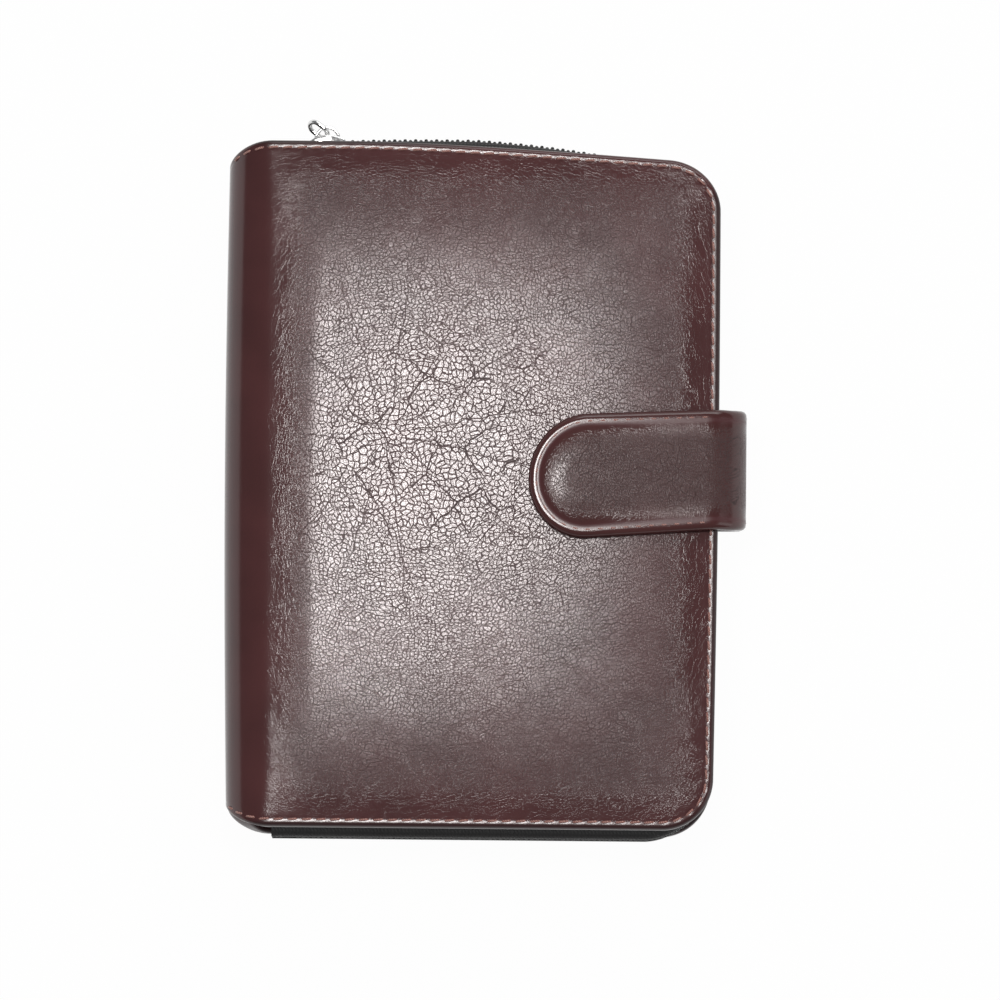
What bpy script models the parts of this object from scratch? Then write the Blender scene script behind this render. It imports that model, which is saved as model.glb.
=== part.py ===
"""Zip-around planner: a six-ring organiser in a padded case with a zip and a snap strap.

The closed planner lies on its back cover. The origin is the middle of the back cover's
outer face, +X points to the fore edge (the spine is at -X), +Y to the top of the pages
and +Z up through the front cover. Lengths are in metres.
"""

import math

import bmesh
import bpy
from mathutils import Matrix, Vector

MM = 0.001

# Case: covers, spine and the layers that they are made of
CASE_THICKNESS = 40 * MM
BEND_RADIUS = 12 * MM
CORNER_RADIUS = 18 * MM
SPINE_SCOOP = 7 * MM
LEATHER = 1.2 * MM
FOAM = 0.8 * MM
BOARD = 1.6 * MM
LINING = 0.8 * MM
EDGE_ROUND = 1.4 * MM
INNER_ROUND = 0.35 * MM
FRONT_CROWN = 1.8 * MM
CROWN_RUN = 60 * MM
CROWN_SPINE_RUN = 24 * MM
CROWN_SHARES = (0.1, 0.23, 0.43, 0.7, 1.0)
FIT = 0.3 * MM

# Zip: tapes, teeth and stops
TAPE = 1.0 * MM
TAPE_INSET = 2.5 * MM
TAPE_FLANGE = 6 * MM
TAPE_UPRIGHT = 4.6 * MM
TOOTH_PITCH = 3 * MM
TOOTH_ROOT = 1.6 * MM
TOOTH_HEAD = 1.1 * MM
TOOTH_DEPTH = 2.6 * MM
TOOTH_HEAD_DEPTH = 2.2 * MM
TOOTH_BASE = 1.6 * MM
TOOTH_BEAD = 0.5 * MM
TOOTH_REACH = 0.6 * MM
STOP_LENGTH = 2.2 * MM
ZIP_SPINE_GAP = 0.6 * MM
LEAN_AT_SPINE = 2.6 * MM
LEAN_PEAK = 5.1 * MM
LEAN_CORNER = 1.5 * MM
LEAN_FORE = 1.0 * MM
LEAN_FOOT = 3.0 * MM

# Slider and pull
SLIDER_LENGTH = 10.5 * MM
SLIDER_HEIGHT = 9.2 * MM
SLIDER_PLATE = 1.2 * MM
SLIDER_LIP = 1.2 * MM
SLIDER_PLAY = 0.4 * MM
SLIDER_TAPER = 0.82
SLIDER_NOSE = 1.6 * MM
SLIDER_TAIL = 4.2 * MM
SLIDER_FROM_SPINE = 26.3 * MM
WEDGE_LENGTH = 2.8 * MM
WEDGE_HEIGHT = 2.6 * MM
CROWN_LENGTH = 8 * MM
CROWN_RISE = 3.2 * MM
CROWN_BAR = 1.0 * MM
CROWN_WIDTH = 2.2 * MM
PULL_WIRE = 1.3 * MM
PULL_LENGTH = 8 * MM
PULL_WIDTH = 6.4 * MM
PULL_CORNER = 1.4 * MM
PULL_ANGLE = math.radians(143)

# Ring mechanism
RING_RADIUS = 12 * MM
RING_WIRE = 2.6 * MM
RING_PITCH = 19 * MM
RING_MIDDLE = 51 * MM
RING_ROOT_ANGLE = math.radians(160)
RING_CLEAR = 2 * MM
SHIELD_HALF_WIDTH = 10 * MM
SHIELD_RISE = 5.6 * MM
SHIELD_SHEET = 0.8 * MM
SHIELD_OVERHANG = 14.5 * MM
SLOT_LOW = 3.3 * MM
SLOT_HIGH = 9.0 * MM
SLOT_PLAY = 0.6 * MM
BLADE = 1.0 * MM
BLADE_WIDTH = 7 * MM
BLADE_LIFT = 1.1 * MM
BLADE_END_GAP = 4 * MM
RIVET_HEAD = 5.4 * MM
RIVET_SHANK = 2.8 * MM
RIVET_DOME = 1.1 * MM
RIVET_PLAY = 0.8 * MM
RIVET_PROFILE = ((0, 1), (0.6, 0.8), (1, 0.36))
LEVER_SHEET = 1.2 * MM
LEVER_HALF_WIDTH = 4 * MM
LEVER_REACH = 6 * MM
LEVER_RISE = 9 * MM
LEVER_PIVOT_IN = 0.5 * MM
LEVER_SLANT = 0.7 * MM

# Pages and dividers
PAGE_WIDTH = 95 * MM
PAGE_HEIGHT = 171 * MM
PAGE_END_ROOM = 9.5 * MM
PAGE_FORE_ROOM = 14 * MM
PUNCH_RADIUS = 3.4 * MM
PUNCH_MARGIN = 5 * MM
STACK_HALF = 7.5 * MM
INNER_SECTION = 3.5 * MM
DIVIDER = 0.4 * MM
TAB_REACH = 5 * MM
TAB_LENGTH = 28 * MM
TAB_CORNER = 3 * MM
PUNCH_OVERRUN = math.radians(8)

# Pockets and memo pad
POCKET_SHEET = 0.7 * MM
POCKET_MARGIN = 11 * MM
POCKET_CORNER = 4 * MM
CARD_SLOTS = 3
CARD_STEP = 22 * MM
CARD_TOP = 60 * MM
CARD_MARGIN = 1 * MM
MEMO_CARD = 0.6 * MM
MEMO_PAD = 2.4 * MM
MEMO_WIDTH = 84 * MM
MEMO_HEIGHT = 124 * MM
MEMO_POCKET_HEIGHT = 72 * MM
MEMO_POCKET_EDGE = 4 * MM

# Strap and snap
STRAP_WIDTH = 32 * MM
STRAP_LAP = 51.3 * MM
STRAP_STANDOFF = 5 * MM
STRAP_LEATHER = 1.4 * MM
STRAP_LINING = 1.0 * MM
STRAP_PAD = 1.0 * MM
STRAP_EDGE = 2.5 * MM
STRAP_BEND = 8 * MM
STRAP_RISE = 4.3 * MM
STRAP_SLANT = 0.03
STRAP_CLEAR = 0.5 * MM
STRAP_ROOT_RUN = 0.5 * MM
STRAP_TIP_SHARES = (0.01, 0.08, 0.25, 0.5, 0.75, 1)
STRAP_RUN_SHARES = (0.4, 0.75)
STRAP_SHOULDER = 0.6
STRAP_SHOULDER_SWELL = 0.35
SNAP_FROM_TIP = 17 * MM
SNAP_SHEET = 0.5 * MM
SNAP_STUD = 3.6 * MM
SNAP_PLAY = 0.5 * MM

# Fineness of the round forms
ARC_STEPS = 6
BEND_STEPS = 3
EDGE_STEPS = 3
PAGE_STEPS = 4
PUNCH_STEPS = 4
CHAIN_STEPS = 8
ROUND_SIDES = 24
RIVET_SIDES = 12
WIRE_SIDES = 8

# Places worked out from the sizes above: the cover is as large as its pages need
WALL = LEATHER + FIT + FOAM + FIT + BOARD + FIT + LINING
RING_FROM_SPINE = WALL + 2 * FIT + BLADE_LIFT + RING_RADIUS
COVER_WIDTH = RING_FROM_SPINE + RING_RADIUS - PUNCH_MARGIN + PAGE_WIDTH + PAGE_FORE_ROOM
COVER_HEIGHT = PAGE_HEIGHT + 2 * PAGE_END_ROOM
X_FORE = COVER_WIDTH / 2
X_SPINE = -COVER_WIDTH / 2
X_BEND = X_SPINE + BEND_RADIUS
Y_TOP = COVER_HEIGHT / 2
Z_MID = CASE_THICKNESS / 2
BEND_HALF_ARC = BEND_RADIUS * math.pi / 4
SPINE_HALF_ARC = 2 * BEND_HALF_ARC + Z_MID - BEND_RADIUS
X_SPLIT = X_BEND - BEND_HALF_ARC + FIT / 2
HINGE_X = X_BEND - BEND_RADIUS * math.sin(math.pi / 4)
HINGE_FROM_FACE = BEND_RADIUS * (1 - math.cos(math.pi / 4))
CORNER_X = X_FORE - CORNER_RADIUS
CORNER_Y = Y_TOP - CORNER_RADIUS
RING_X = X_SPINE + RING_FROM_SPINE
RING_LEFT = RING_X - RING_RADIUS
RING_PLACES = [
    side * (RING_MIDDLE / 2 + step * RING_PITCH)
    for side in (-1, 1)
    for step in range(3)
]
SHIELD_HALF_LENGTH = RING_MIDDLE / 2 + 2 * RING_PITCH + SHIELD_OVERHANG
POCKET_LEFT = RING_X + RING_RADIUS + RING_WIRE / 2 + RING_CLEAR


def clear_scene():
    for old in list(bpy.data.objects):
        bpy.data.objects.remove(old, do_unlink=True)


def material(name, colour, roughness, metallic=0.0):
    finish = bpy.data.materials.new(name)
    finish.use_nodes = True
    shader = finish.node_tree.nodes["Principled BSDF"]
    shader.inputs["Base Color"].default_value = (*colour, 1.0)
    shader.inputs["Roughness"].default_value = roughness
    shader.inputs["Metallic"].default_value = metallic
    finish.diffuse_color = (*colour, 1.0)
    return finish


def pivot(name, place, parent=None):
    """An empty on a joint axis, which carries the pieces that move about it."""
    empty = bpy.data.objects.new(name, None)
    bpy.context.collection.objects.link(empty)
    empty.empty_display_size = 10 * MM
    empty.location = place
    if parent:
        hang(empty, parent)
    return empty


def hang(child, parent):
    bpy.context.view_layer.update()
    child.parent = parent
    child.matrix_parent_inverse = parent.matrix_world.inverted()


def solid(name, bm, finish, carrier, smooth=False):
    """Turn a bmesh into a named object that hangs on its carrier."""
    bm.normal_update()
    bmesh.ops.recalc_face_normals(bm, faces=bm.faces)
    mesh = bpy.data.meshes.new(name)
    bm.to_mesh(mesh)
    bm.free()
    mesh.materials.append(finish)
    if smooth:
        mesh.shade_smooth()
        mesh.set_sharp_from_angle(angle=math.radians(35))
    piece = bpy.data.objects.new(name, mesh)
    bpy.context.collection.objects.link(piece)
    hang(piece, carrier)
    return piece


def boolean(target, tool, operation):
    """Combine a piece with a tool object, which stays as a hidden guide."""
    step = target.modifiers.new(tool.name, "BOOLEAN")
    step.operation = operation
    step.solver = "EXACT"
    step.object = tool
    tool.hide_render = True
    tool.display_type = "WIRE"


def loft(bm, sections, closed=False):
    """Skin a row of equal closed sections, with end caps unless the row is closed."""
    rows = [[bm.verts.new(point) for point in section] for section in sections]
    count = len(rows[0])
    pairs = list(zip(rows, rows[1:]))
    if closed:
        pairs.append((rows[-1], rows[0]))
    for first, second in pairs:
        for index in range(count):
            after = (index + 1) % count
            bm.faces.new((first[index], first[after], second[after], second[index]))
    if not closed:
        bm.faces.new(rows[0])
        bm.faces.new(rows[-1])
    return bm


def plate(bm, outline, low, high):
    return loft(bm, [[(x, y, z) for x, y in outline] for z in (low, high)])


def box(bm, low, high):
    outline = [(low[0], low[1]), (high[0], low[1]), (high[0], high[1]), (low[0], high[1])]
    return plate(bm, outline, low[2], high[2])


def arc(centre, radius, start, end, steps):
    """Points on an arc in a plane, from the start angle to the end angle in degrees."""
    points = []
    for step in range(steps + 1):
        angle = math.radians(start + (end - start) * step / steps)
        points.append((centre[0] + radius * math.cos(angle), centre[1] + radius * math.sin(angle)))
    return points


def circle(centre, radius, sides):
    return arc(centre, radius, 0, 360 - 360 / sides, sides - 1)


def between(first, last, count):
    """The points strictly between two ends, evenly spaced."""
    return [
        (
            first[0] + (last[0] - first[0]) * step / (count + 1),
            first[1] + (last[1] - first[1]) * step / (count + 1),
        )
        for step in range(1, count + 1)
    ]


def rounded_rectangle(low, high, radius):
    corners = [
        ((high[0] - radius, low[1] + radius), -90),
        ((high[0] - radius, high[1] - radius), 0),
        ((low[0] + radius, high[1] - radius), 90),
        ((low[0] + radius, low[1] + radius), 180),
    ]
    outline = []
    for centre, start in corners:
        outline += arc(centre, radius, start, start + 90, ARC_STEPS // 2)
    return outline


def cover_outline(inset, left):
    """A cover's outline seen from above, drawn in from the edge on its three free sides."""
    radius = max(CORNER_RADIUS - inset, FIT)
    right = X_FORE - inset
    top = Y_TOP - inset
    lower = arc((right - radius, -top + radius), radius, -90, 0, ARC_STEPS)
    upper = arc((right - radius, top - radius), radius, 0, 90, ARC_STEPS)
    first = (left, -top)
    last = (left, top)
    return (
        [first]
        + between(first, lower[0], EDGE_STEPS)
        + lower
        + between(lower[-1], upper[0], EDGE_STEPS)
        + upper
        + between(upper[-1], last, EDGE_STEPS)
        + [last]
    )


def drawn_in(y, past_bend):
    """Draw a point in towards the middle as the case's ends scoop in round the spine."""
    share = (1 - math.cos(math.pi * past_bend / SPINE_HALF_ARC)) / 2
    return y * (1 - SPINE_SCOOP * share / Y_TOP)


def on_front(x, y, depth):
    """Wrap a point of the flat front cover, at a depth under its outer face, round the bend."""
    if x >= X_BEND:
        return Vector((x, y, CASE_THICKNESS - depth))
    angle = (X_BEND - x) / BEND_RADIUS
    radius = BEND_RADIUS - depth
    height = CASE_THICKNESS - BEND_RADIUS + radius * math.cos(angle)
    return Vector((X_BEND - radius * math.sin(angle), drawn_in(y, X_BEND - x), height))


def on_back(x, y, depth):
    point = on_front(x, y, depth)
    return Vector((point.x, point.y, CASE_THICKNESS - point.z))


def on_spine(along, y, depth):
    """The same for the spine: along is measured up its outer face from mid-height."""
    flat_half = Z_MID - BEND_RADIUS
    y = drawn_in(y, SPINE_HALF_ARC - abs(along))
    if abs(along) <= flat_half:
        return Vector((X_SPINE + depth, y, Z_MID + along))
    side = math.copysign(1, along)
    angle = (abs(along) - flat_half) / BEND_RADIUS
    radius = BEND_RADIUS - depth
    height = Z_MID + side * (flat_half + radius * math.sin(angle))
    return Vector((X_BEND - radius * math.cos(angle), y, height))


def wrap(bm, place):
    """Cut a flat cover piece into strips across its bend, then wrap it into place."""
    strip = BEND_HALF_ARC / BEND_STEPS
    for step in range(BEND_STEPS):
        everything = bm.verts[:] + bm.edges[:] + bm.faces[:]
        plane = (X_BEND - step * strip, 0, 0)
        bmesh.ops.bisect_plane(bm, geom=everything, plane_co=plane, plane_no=(1, 0, 0))
    for vert in bm.verts:
        vert.co = place(vert.co.x, vert.co.y, vert.co.z)
    return bm


def crown_height(inset):
    share = min(inset / CROWN_RUN, 1)
    return FRONT_CROWN * (1 - (1 - share) ** 2)


def crown_rings(base_depth, crown):
    """Rings that carry the padded crown in from the rim; none on a flat cover."""
    if not crown:
        return []
    rings = []
    for share in CROWN_SHARES:
        inset = share * CROWN_RUN
        left = X_BEND + share * CROWN_SPINE_RUN
        ring = [(x, y, base_depth - crown_height(inset)) for x, y in cover_outline(inset, left)]
        rings.append(ring)
    return rings


def leather_cover(crown):
    """Outer leather with its turned rim on three sides, still flat, with z as the depth."""
    bend = EDGE_ROUND * (1 - math.sin(math.pi / 4))
    inner = LEATHER + INNER_ROUND
    outer_rim = [(0, WALL), (0, EDGE_ROUND), (bend, bend), (EDGE_ROUND, 0)]
    inner_rim = [(LEATHER, WALL), (LEATHER, inner), (inner, LEATHER), (EDGE_ROUND + LEATHER, LEATHER)]
    bm = bmesh.new()
    skins = []
    for rim, base in ((outer_rim, 0), (inner_rim, LEATHER)):
        rings = [[(x, y, depth) for x, y in cover_outline(inset, X_SPLIT)] for inset, depth in rim]
        rings += crown_rings(base, crown)
        skins.append([[bm.verts.new(point) for point in ring] for ring in rings])
    rim_rows = len(outer_rim)
    for skin in skins:
        for row, (first, second) in enumerate(zip(skin, skin[1:])):
            count = len(first)
            last = count if row >= rim_rows - 1 else count - 1
            for index in range(last):
                after = (index + 1) % count
                bm.faces.new((first[index], first[after], second[after], second[index]))
        bm.faces.new(skin[-1])
    outer, lower = skins
    for index in range(len(outer[0]) - 1):
        bm.faces.new((outer[0][index], outer[0][index + 1], lower[0][index + 1], lower[0][index]))
    for row in range(rim_rows - 1):
        for end in (0, -1):
            bm.faces.new((outer[row][end], outer[row + 1][end], lower[row + 1][end], lower[row][end]))
    top = rim_rows - 1
    bm.faces.new((outer[top][0], outer[top][-1], lower[top][-1], lower[top][0]))
    return bm


def cover_sheet(inset, left, low, high, crown=0):
    """A flat layer of a cover between two depths; its outer face may carry the crown."""
    rings = [[(x, y, depth) for x, y in cover_outline(inset, left)] for depth in (high, low)]
    rings += crown_rings(low, crown)
    return loft(bmesh.new(), rings)


def build_cover(side, place, crown, carrier, finishes):
    """Leather, foam, board and lining of one cover, from the outside in."""
    foam_top = LEATHER + FIT
    board_top = foam_top + FOAM + FIT
    lining_top = board_top + BOARD + FIT
    tucked = LEATHER + FIT
    solid(side + "_leather", wrap(leather_cover(crown), place), finishes["leather"], carrier, True)
    inset = tucked + EDGE_ROUND
    foam = cover_sheet(inset, X_BEND, foam_top, foam_top + FOAM, crown)
    solid(side + "_foam", wrap(foam, place), finishes["foam"], carrier, True)
    board = cover_sheet(tucked, X_BEND, board_top, board_top + BOARD)
    solid(side + "_board", wrap(board, place), finishes["board"], carrier)
    lining = cover_sheet(tucked, X_SPLIT, lining_top, lining_top + LINING)
    solid(side + "_lining", wrap(lining, place), finishes["lining"], carrier)


def spine_stations():
    flat_half = Z_MID - BEND_RADIUS
    arc_length = BEND_HALF_ARC - FIT / 2
    upper = [flat_half + arc_length * step / BEND_STEPS for step in range(BEND_STEPS + 1)]
    return [-along for along in reversed(upper)] + [0] + upper


def build_spine(carrier, finishes):
    bend = EDGE_ROUND * (1 - math.sin(math.pi / 4))
    rim = [(Y_TOP, WALL), (Y_TOP, EDGE_ROUND), (Y_TOP - bend, bend), (Y_TOP - EDGE_ROUND, 0)]
    hollow = [(Y_TOP - LEATHER, LEATHER), (Y_TOP - LEATHER, WALL)]
    channel = rim + [(-y, depth) for y, depth in reversed(rim)]
    channel += [(-y, depth) for y, depth in reversed(hollow)] + hollow
    stations = spine_stations()
    sections = [[on_spine(along, y, depth) for y, depth in channel] for along in stations]
    solid("spine_leather", loft(bmesh.new(), sections), finishes["leather"], carrier, True)

    edge = Y_TOP - LEATHER - FIT
    lining_top = WALL - LINING
    sheet = [(-edge, lining_top), (edge, lining_top), (edge, WALL), (-edge, WALL)]
    sections = [[on_spine(along, y, depth) for y, depth in sheet] for along in stations]
    solid("spine_lining", loft(bmesh.new(), sections), finishes["lining"], carrier, True)

    half = Z_MID - BEND_RADIUS
    end = drawn_in(edge, SPINE_HALF_ARC)
    low = (X_SPINE + LEATHER + FIT, -end, Z_MID - half)
    high = (X_SPINE + lining_top - FIT, end, Z_MID + half)
    solid("spine_board", box(bmesh.new(), low, high), finishes["board"], carrier)


def top_lean(x):
    """How far the zip swells outwards along the top: a straight ramp, then a falling curve."""
    start = X_BEND + ZIP_SPINE_GAP
    if x <= 0:
        return LEAN_AT_SPINE + (LEAN_PEAK - LEAN_AT_SPINE) * (x - start) / -start
    return LEAN_PEAK - (LEAN_PEAK - LEAN_CORNER) * (x / CORNER_X) ** 2


def zip_line(steps):
    """Places along the zip: seam point, chain point and outward direction, spine to spine."""
    start = X_BEND + ZIP_SPINE_GAP
    seam = Y_TOP - TAPE_INSET
    radius = CORNER_RADIUS - TAPE_INSET
    line = []
    for part in (0, 1):
        low = start if part == 0 else 0
        high = 0 if part == 0 else CORNER_X
        for step in range(steps):
            x = low + (high - low) * step / steps
            line.append(((x, seam), (x, seam + top_lean(x)), (0, 1)))
    for sign, first, last in ((1, LEAN_CORNER, LEAN_FORE), (-1, LEAN_FORE, LEAN_FOOT)):
        for step in range(steps + 1):
            share = step / steps
            angle = math.radians(90 * (1 - share) if sign == 1 else -90 * share)
            out = (math.cos(angle), math.sin(angle))
            reach = radius + first + (last - first) * share
            centre = (CORNER_X, sign * CORNER_Y)
            seam_point = (centre[0] + radius * out[0], centre[1] + radius * out[1])
            line.append((seam_point, (centre[0] + reach * out[0], centre[1] + reach * out[1]), out))
    line.append(((start, -seam), (start, -seam - LEAN_FOOT), (0, -1)))
    return line


def shifted(point, out, distance):
    return (point[0] + out[0] * distance, point[1] + out[1] * distance)


def zip_tape(flip):
    """One tape: flange on the lining, a leaning web and an upright edge that carries the teeth."""
    sections = []
    half = TAPE / 2
    top = CASE_THICKNESS - WALL - FIT
    edge = Z_MID + TOOTH_BASE + FIT
    kink = edge + TAPE_UPRIGHT
    for seam, chain, out in zip_line(ARC_STEPS):
        profile = [
            (seam, half, top),
            (chain, half, kink),
            (chain, half, edge),
            (chain, -half, edge),
            (chain, -half, kink),
            (seam, -half, top - TAPE),
            (seam, -TAPE_FLANGE, top - TAPE),
            (seam, -TAPE_FLANGE, top),
        ]
        section = []
        for point, distance, height in profile:
            x, y = shifted(point, out, distance)
            section.append((x, y, flip(height)))
        sections.append(section)
    return loft(bmesh.new(), sections)


def chain_places(first_offset):
    """Places and directions of the teeth along the chain, from the slider's wedge to the foot."""
    points = [Vector(chain).to_2d() for _, chain, _ in zip_line(ARC_STEPS * CHAIN_STEPS)]
    places = []
    travelled = 0
    wanted = slider_from_start() + SLIDER_PLAY + TOOTH_ROOT / 2 + first_offset
    for start, end in zip(points, points[1:]):
        span = (end - start).length
        while travelled + span > wanted and span > 0:
            along = (end - start) / span
            places.append((start + along * (wanted - travelled), along))
            wanted += TOOTH_PITCH
        travelled += span
    spare = STOP_LENGTH * 2 + TOOTH_PITCH
    return [place for place in places if place[0].y > 0 or place[0].x > points[-1].x + spare]


def slider_frame():
    """The slider's middle and the direction of the straight run that it travels on."""
    x = X_SPINE + SLIDER_FROM_SPINE
    y = Y_TOP - TAPE_INSET + top_lean(x)
    slope = (LEAN_PEAK - LEAN_AT_SPINE) / -(X_BEND + ZIP_SPINE_GAP)
    return Vector((x, y, Z_MID)), math.atan(slope)


def slider_from_start():
    """Length of chain from the tape's end to the right-hand side of the slider's wedge."""
    centre, slope = slider_frame()
    wedge_end = centre.x + (WEDGE_LENGTH - SLIDER_LENGTH / 2) * math.cos(slope)
    return (wedge_end - (X_BEND + ZIP_SPINE_GAP)) / math.cos(slope)


def teeth(flip, first_offset):
    """A row of tapered teeth moulded on one bead along the tape's edge."""
    bm = bmesh.new()
    top = flip(Z_MID + TOOTH_BASE)
    low = flip(Z_MID + TOOTH_BASE - TOOTH_BEAD)
    head = flip(Z_MID - TOOTH_REACH)
    stations = []
    heads = []
    for place, along in chain_places(first_offset):
        across = Vector((along.y, -along.x))
        for end in (-1, 1):
            middle = place + along * (end * TOOTH_ROOT / 2)
            side = across * (TOOTH_DEPTH / 2)
            corners = ((*middle, top), (*(middle + side), low), (*(middle - side), low))
            stations.append([bm.verts.new(corner) for corner in corners])
            middle = place + along * (end * TOOTH_HEAD / 2)
            side = across * (TOOTH_HEAD_DEPTH / 2)
            heads.append([bm.verts.new((*point, head)) for point in (middle + side, middle - side)])
    for index, (first, second) in enumerate(zip(stations, stations[1:])):
        bm.faces.new((first[0], first[1], second[1], second[0]))
        bm.faces.new((first[2], first[0], second[0], second[2]))
        if index % 2:
            bm.faces.new((first[1], first[2], second[2], second[1]))
            continue
        near, far = heads[index], heads[index + 1]
        bm.faces.new((first[1], first[2], near[1], near[0]))
        bm.faces.new((second[1], second[2], far[1], far[0]))
        bm.faces.new((first[1], second[1], far[0], near[0]))
        bm.faces.new((first[2], second[2], far[1], near[1]))
        bm.faces.new((near[0], near[1], far[1], far[0]))
    bm.faces.new(stations[0])
    bm.faces.new(stations[-1])
    return bm


def end_stop(flip, x, y):
    """A clamped stop under the end of a tape's edge."""
    half = TOOTH_DEPTH / 2
    heights = sorted((flip(Z_MID + FIT / 2), flip(Z_MID + TOOTH_BASE)))
    low = (x - STOP_LENGTH / 2, y - half, heights[0])
    return box(bmesh.new(), low, (x + STOP_LENGTH / 2, y + half, heights[1]))


def build_zip(front, back, finishes):
    sides = (
        ("front", lambda height: height, 0, front),
        ("back", lambda height: CASE_THICKNESS - height, TOOTH_PITCH / 2, back),
    )
    for side, flip, offset, carrier in sides:
        solid("zip_tape_" + side, zip_tape(flip), finishes["tape"], carrier)
        solid("zip_teeth_" + side, teeth(flip, offset), finishes["teeth"], carrier)
        x = X_BEND + ZIP_SPINE_GAP + STOP_LENGTH
        seam = Y_TOP - TAPE_INSET
        for end, y in (("top", seam + top_lean(x)), ("foot", -seam - LEAN_FOOT)):
            solid("zip_%s_stop_%s" % (end, side), end_stop(flip, x, y), finishes["chrome"], carrier)


def build_slider(carrier, finishes):
    """Cast slider: two lipped plates on a wedge, with a crown for the pull."""
    centre, slope = slider_frame()
    turn = Matrix.Translation(centre) @ Matrix.Rotation(slope, 4, "Z")
    half = SLIDER_LENGTH / 2
    high = SLIDER_HEIGHT / 2
    channel = TOOTH_DEPTH / 2 + SLIDER_PLAY
    outer = channel + SLIDER_PLATE
    slit = TAPE / 2 + SLIDER_PLAY
    lip = high - SLIDER_LIP
    cross = [(outer, -high), (outer, high), (slit, high), (slit, lip),
             (channel, lip), (channel, -lip), (slit, -lip), (slit, -high)]
    stations = ((-half, SLIDER_TAPER), (SLIDER_NOSE - half, 1), (half - SLIDER_TAIL, 1), (half, SLIDER_TAPER))

    bodies = []
    for side in (1, -1):
        bm = bmesh.new()
        sections = []
        for along, share in stations:
            rows = []
            for v, w in cross:
                squeeze = share if abs(w) == high else 1
                rows.append(turn @ Vector((along, side * v, w * squeeze)))
            sections.append(rows)
        bodies.append(loft(bm, sections))
    body = solid("zip_slider_body", bodies[0], finishes["chrome"], carrier)
    inner_plate = solid("slider_inner_plate", bodies[1], finishes["chrome"], carrier)

    deep = channel + SLIDER_PLATE / 2
    wedge_end = WEDGE_LENGTH - half
    wedge = [(FIT - half, 0), (-half + WEDGE_LENGTH / 2, WEDGE_HEIGHT / 2), (wedge_end, 0),
             (-half + WEDGE_LENGTH / 2, -WEDGE_HEIGHT / 2)]
    sections = [[turn @ Vector((u, v, w)) for u, w in wedge] for v in (-deep, deep)]
    wedge_tool = solid("slider_wedge", loft(bmesh.new(), sections), finishes["chrome"], carrier)

    foot = outer - SLIDER_PLATE / 2
    profile = []
    for length, rise in ((CROWN_LENGTH / 2, CROWN_RISE + SLIDER_PLATE / 2),
                         (CROWN_LENGTH / 2 - CROWN_BAR, CROWN_RISE - CROWN_BAR + SLIDER_PLATE / 2)):
        unit = arc((0, 0), 1, 0, 180, ARC_STEPS)
        profile.append([(length * u, rise * v) for u, v in unit])
    arch = profile[0] + profile[1][::-1]
    wide = CROWN_WIDTH / 2
    sections = [[turn @ Vector((u, foot + v, w)) for u, v in arch] for w in (-wide, wide)]
    crown_tool = solid("slider_crown", loft(bmesh.new(), sections), finishes["chrome"], carrier)
    for tool in (inner_plate, wedge_tool, crown_tool):
        boolean(body, tool, "UNION")


def pull_pivot():
    """The pull turns on an upright axis just inside the top of the crown."""
    centre, slope = slider_frame()
    outer = TOOTH_DEPTH / 2 + SLIDER_PLAY + SLIDER_PLATE
    reach = outer + CROWN_RISE - CROWN_BAR - PULL_WIRE / 2 - FIT
    return centre + Matrix.Rotation(slope, 3, "Z") @ Vector((0, reach, 0))


def build_pull(carrier, finishes):
    """A bent wire loop through the slider's crown."""
    place = pull_pivot()
    out = Vector((math.cos(PULL_ANGLE), math.sin(PULL_ANGLE), 0))
    side = Vector((-out.y, out.x, 0))
    radius = PULL_WIDTH / 2 - PULL_WIRE / 2
    low = (0, -radius)
    high = (PULL_LENGTH - PULL_WIRE, radius)
    path = rounded_rectangle(low, high, PULL_CORNER)
    sections = []
    for index, point in enumerate(path):
        before = Vector(path[index - 1])
        after = Vector(path[(index + 1) % len(path)])
        along = (after - before).normalized()
        normal = Vector((along.y, -along.x))
        section = []
        for step in range(WIRE_SIDES):
            angle = 2 * math.pi * step / WIRE_SIDES
            spot = Vector(point) + normal * (math.cos(angle) * PULL_WIRE / 2)
            lift = side * (math.sin(angle) * PULL_WIRE / 2)
            section.append(place + out * spot.x + Vector((0, 0, spot.y)) + lift)
        sections.append(section)
    solid("zip_pull", loft(bmesh.new(), sections, closed=True), finishes["chrome"], carrier, True)


def ring_arc(bm, y, radius, start, end, steps, sides, flip):
    """A bent rod about the ring's centre, between two angles from the fore side."""
    sections = []
    for step in range(steps + 1):
        angle = start + (end - start) * step / steps
        out = Vector((math.cos(angle), 0, flip * math.sin(angle)))
        middle = Vector((RING_X, y, Z_MID)) + out * RING_RADIUS
        section = []
        for side in range(sides):
            turn = 2 * math.pi * (side + 0.5) / sides
            aside = Vector((0, radius * math.sin(turn), 0))
            section.append(middle + out * (radius * math.cos(turn)) + aside)
        sections.append(section)
    return loft(bm, sections)


def blade_outline(flip):
    """A blade seen from the fore side: a long strip with notches that clear the rivets."""
    end = SHIELD_HALF_LENGTH - BLADE_END_GAP
    near = FIT / 2
    notch = RIVET_SHANK / 2 + RIVET_PLAY
    points = [(-end, near)]
    for y in (-rivet_place(), rivet_place()):
        points += [(y - notch, near), (y - notch, notch), (y + notch, notch), (y + notch, near)]
    points += [(end, near), (end, BLADE_WIDTH), (-end, BLADE_WIDTH)]
    return [(y, Z_MID + flip * z) for y, z in points]


def rivet_place():
    return RING_MIDDLE / 2 + RING_PITCH * 1.5


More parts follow.
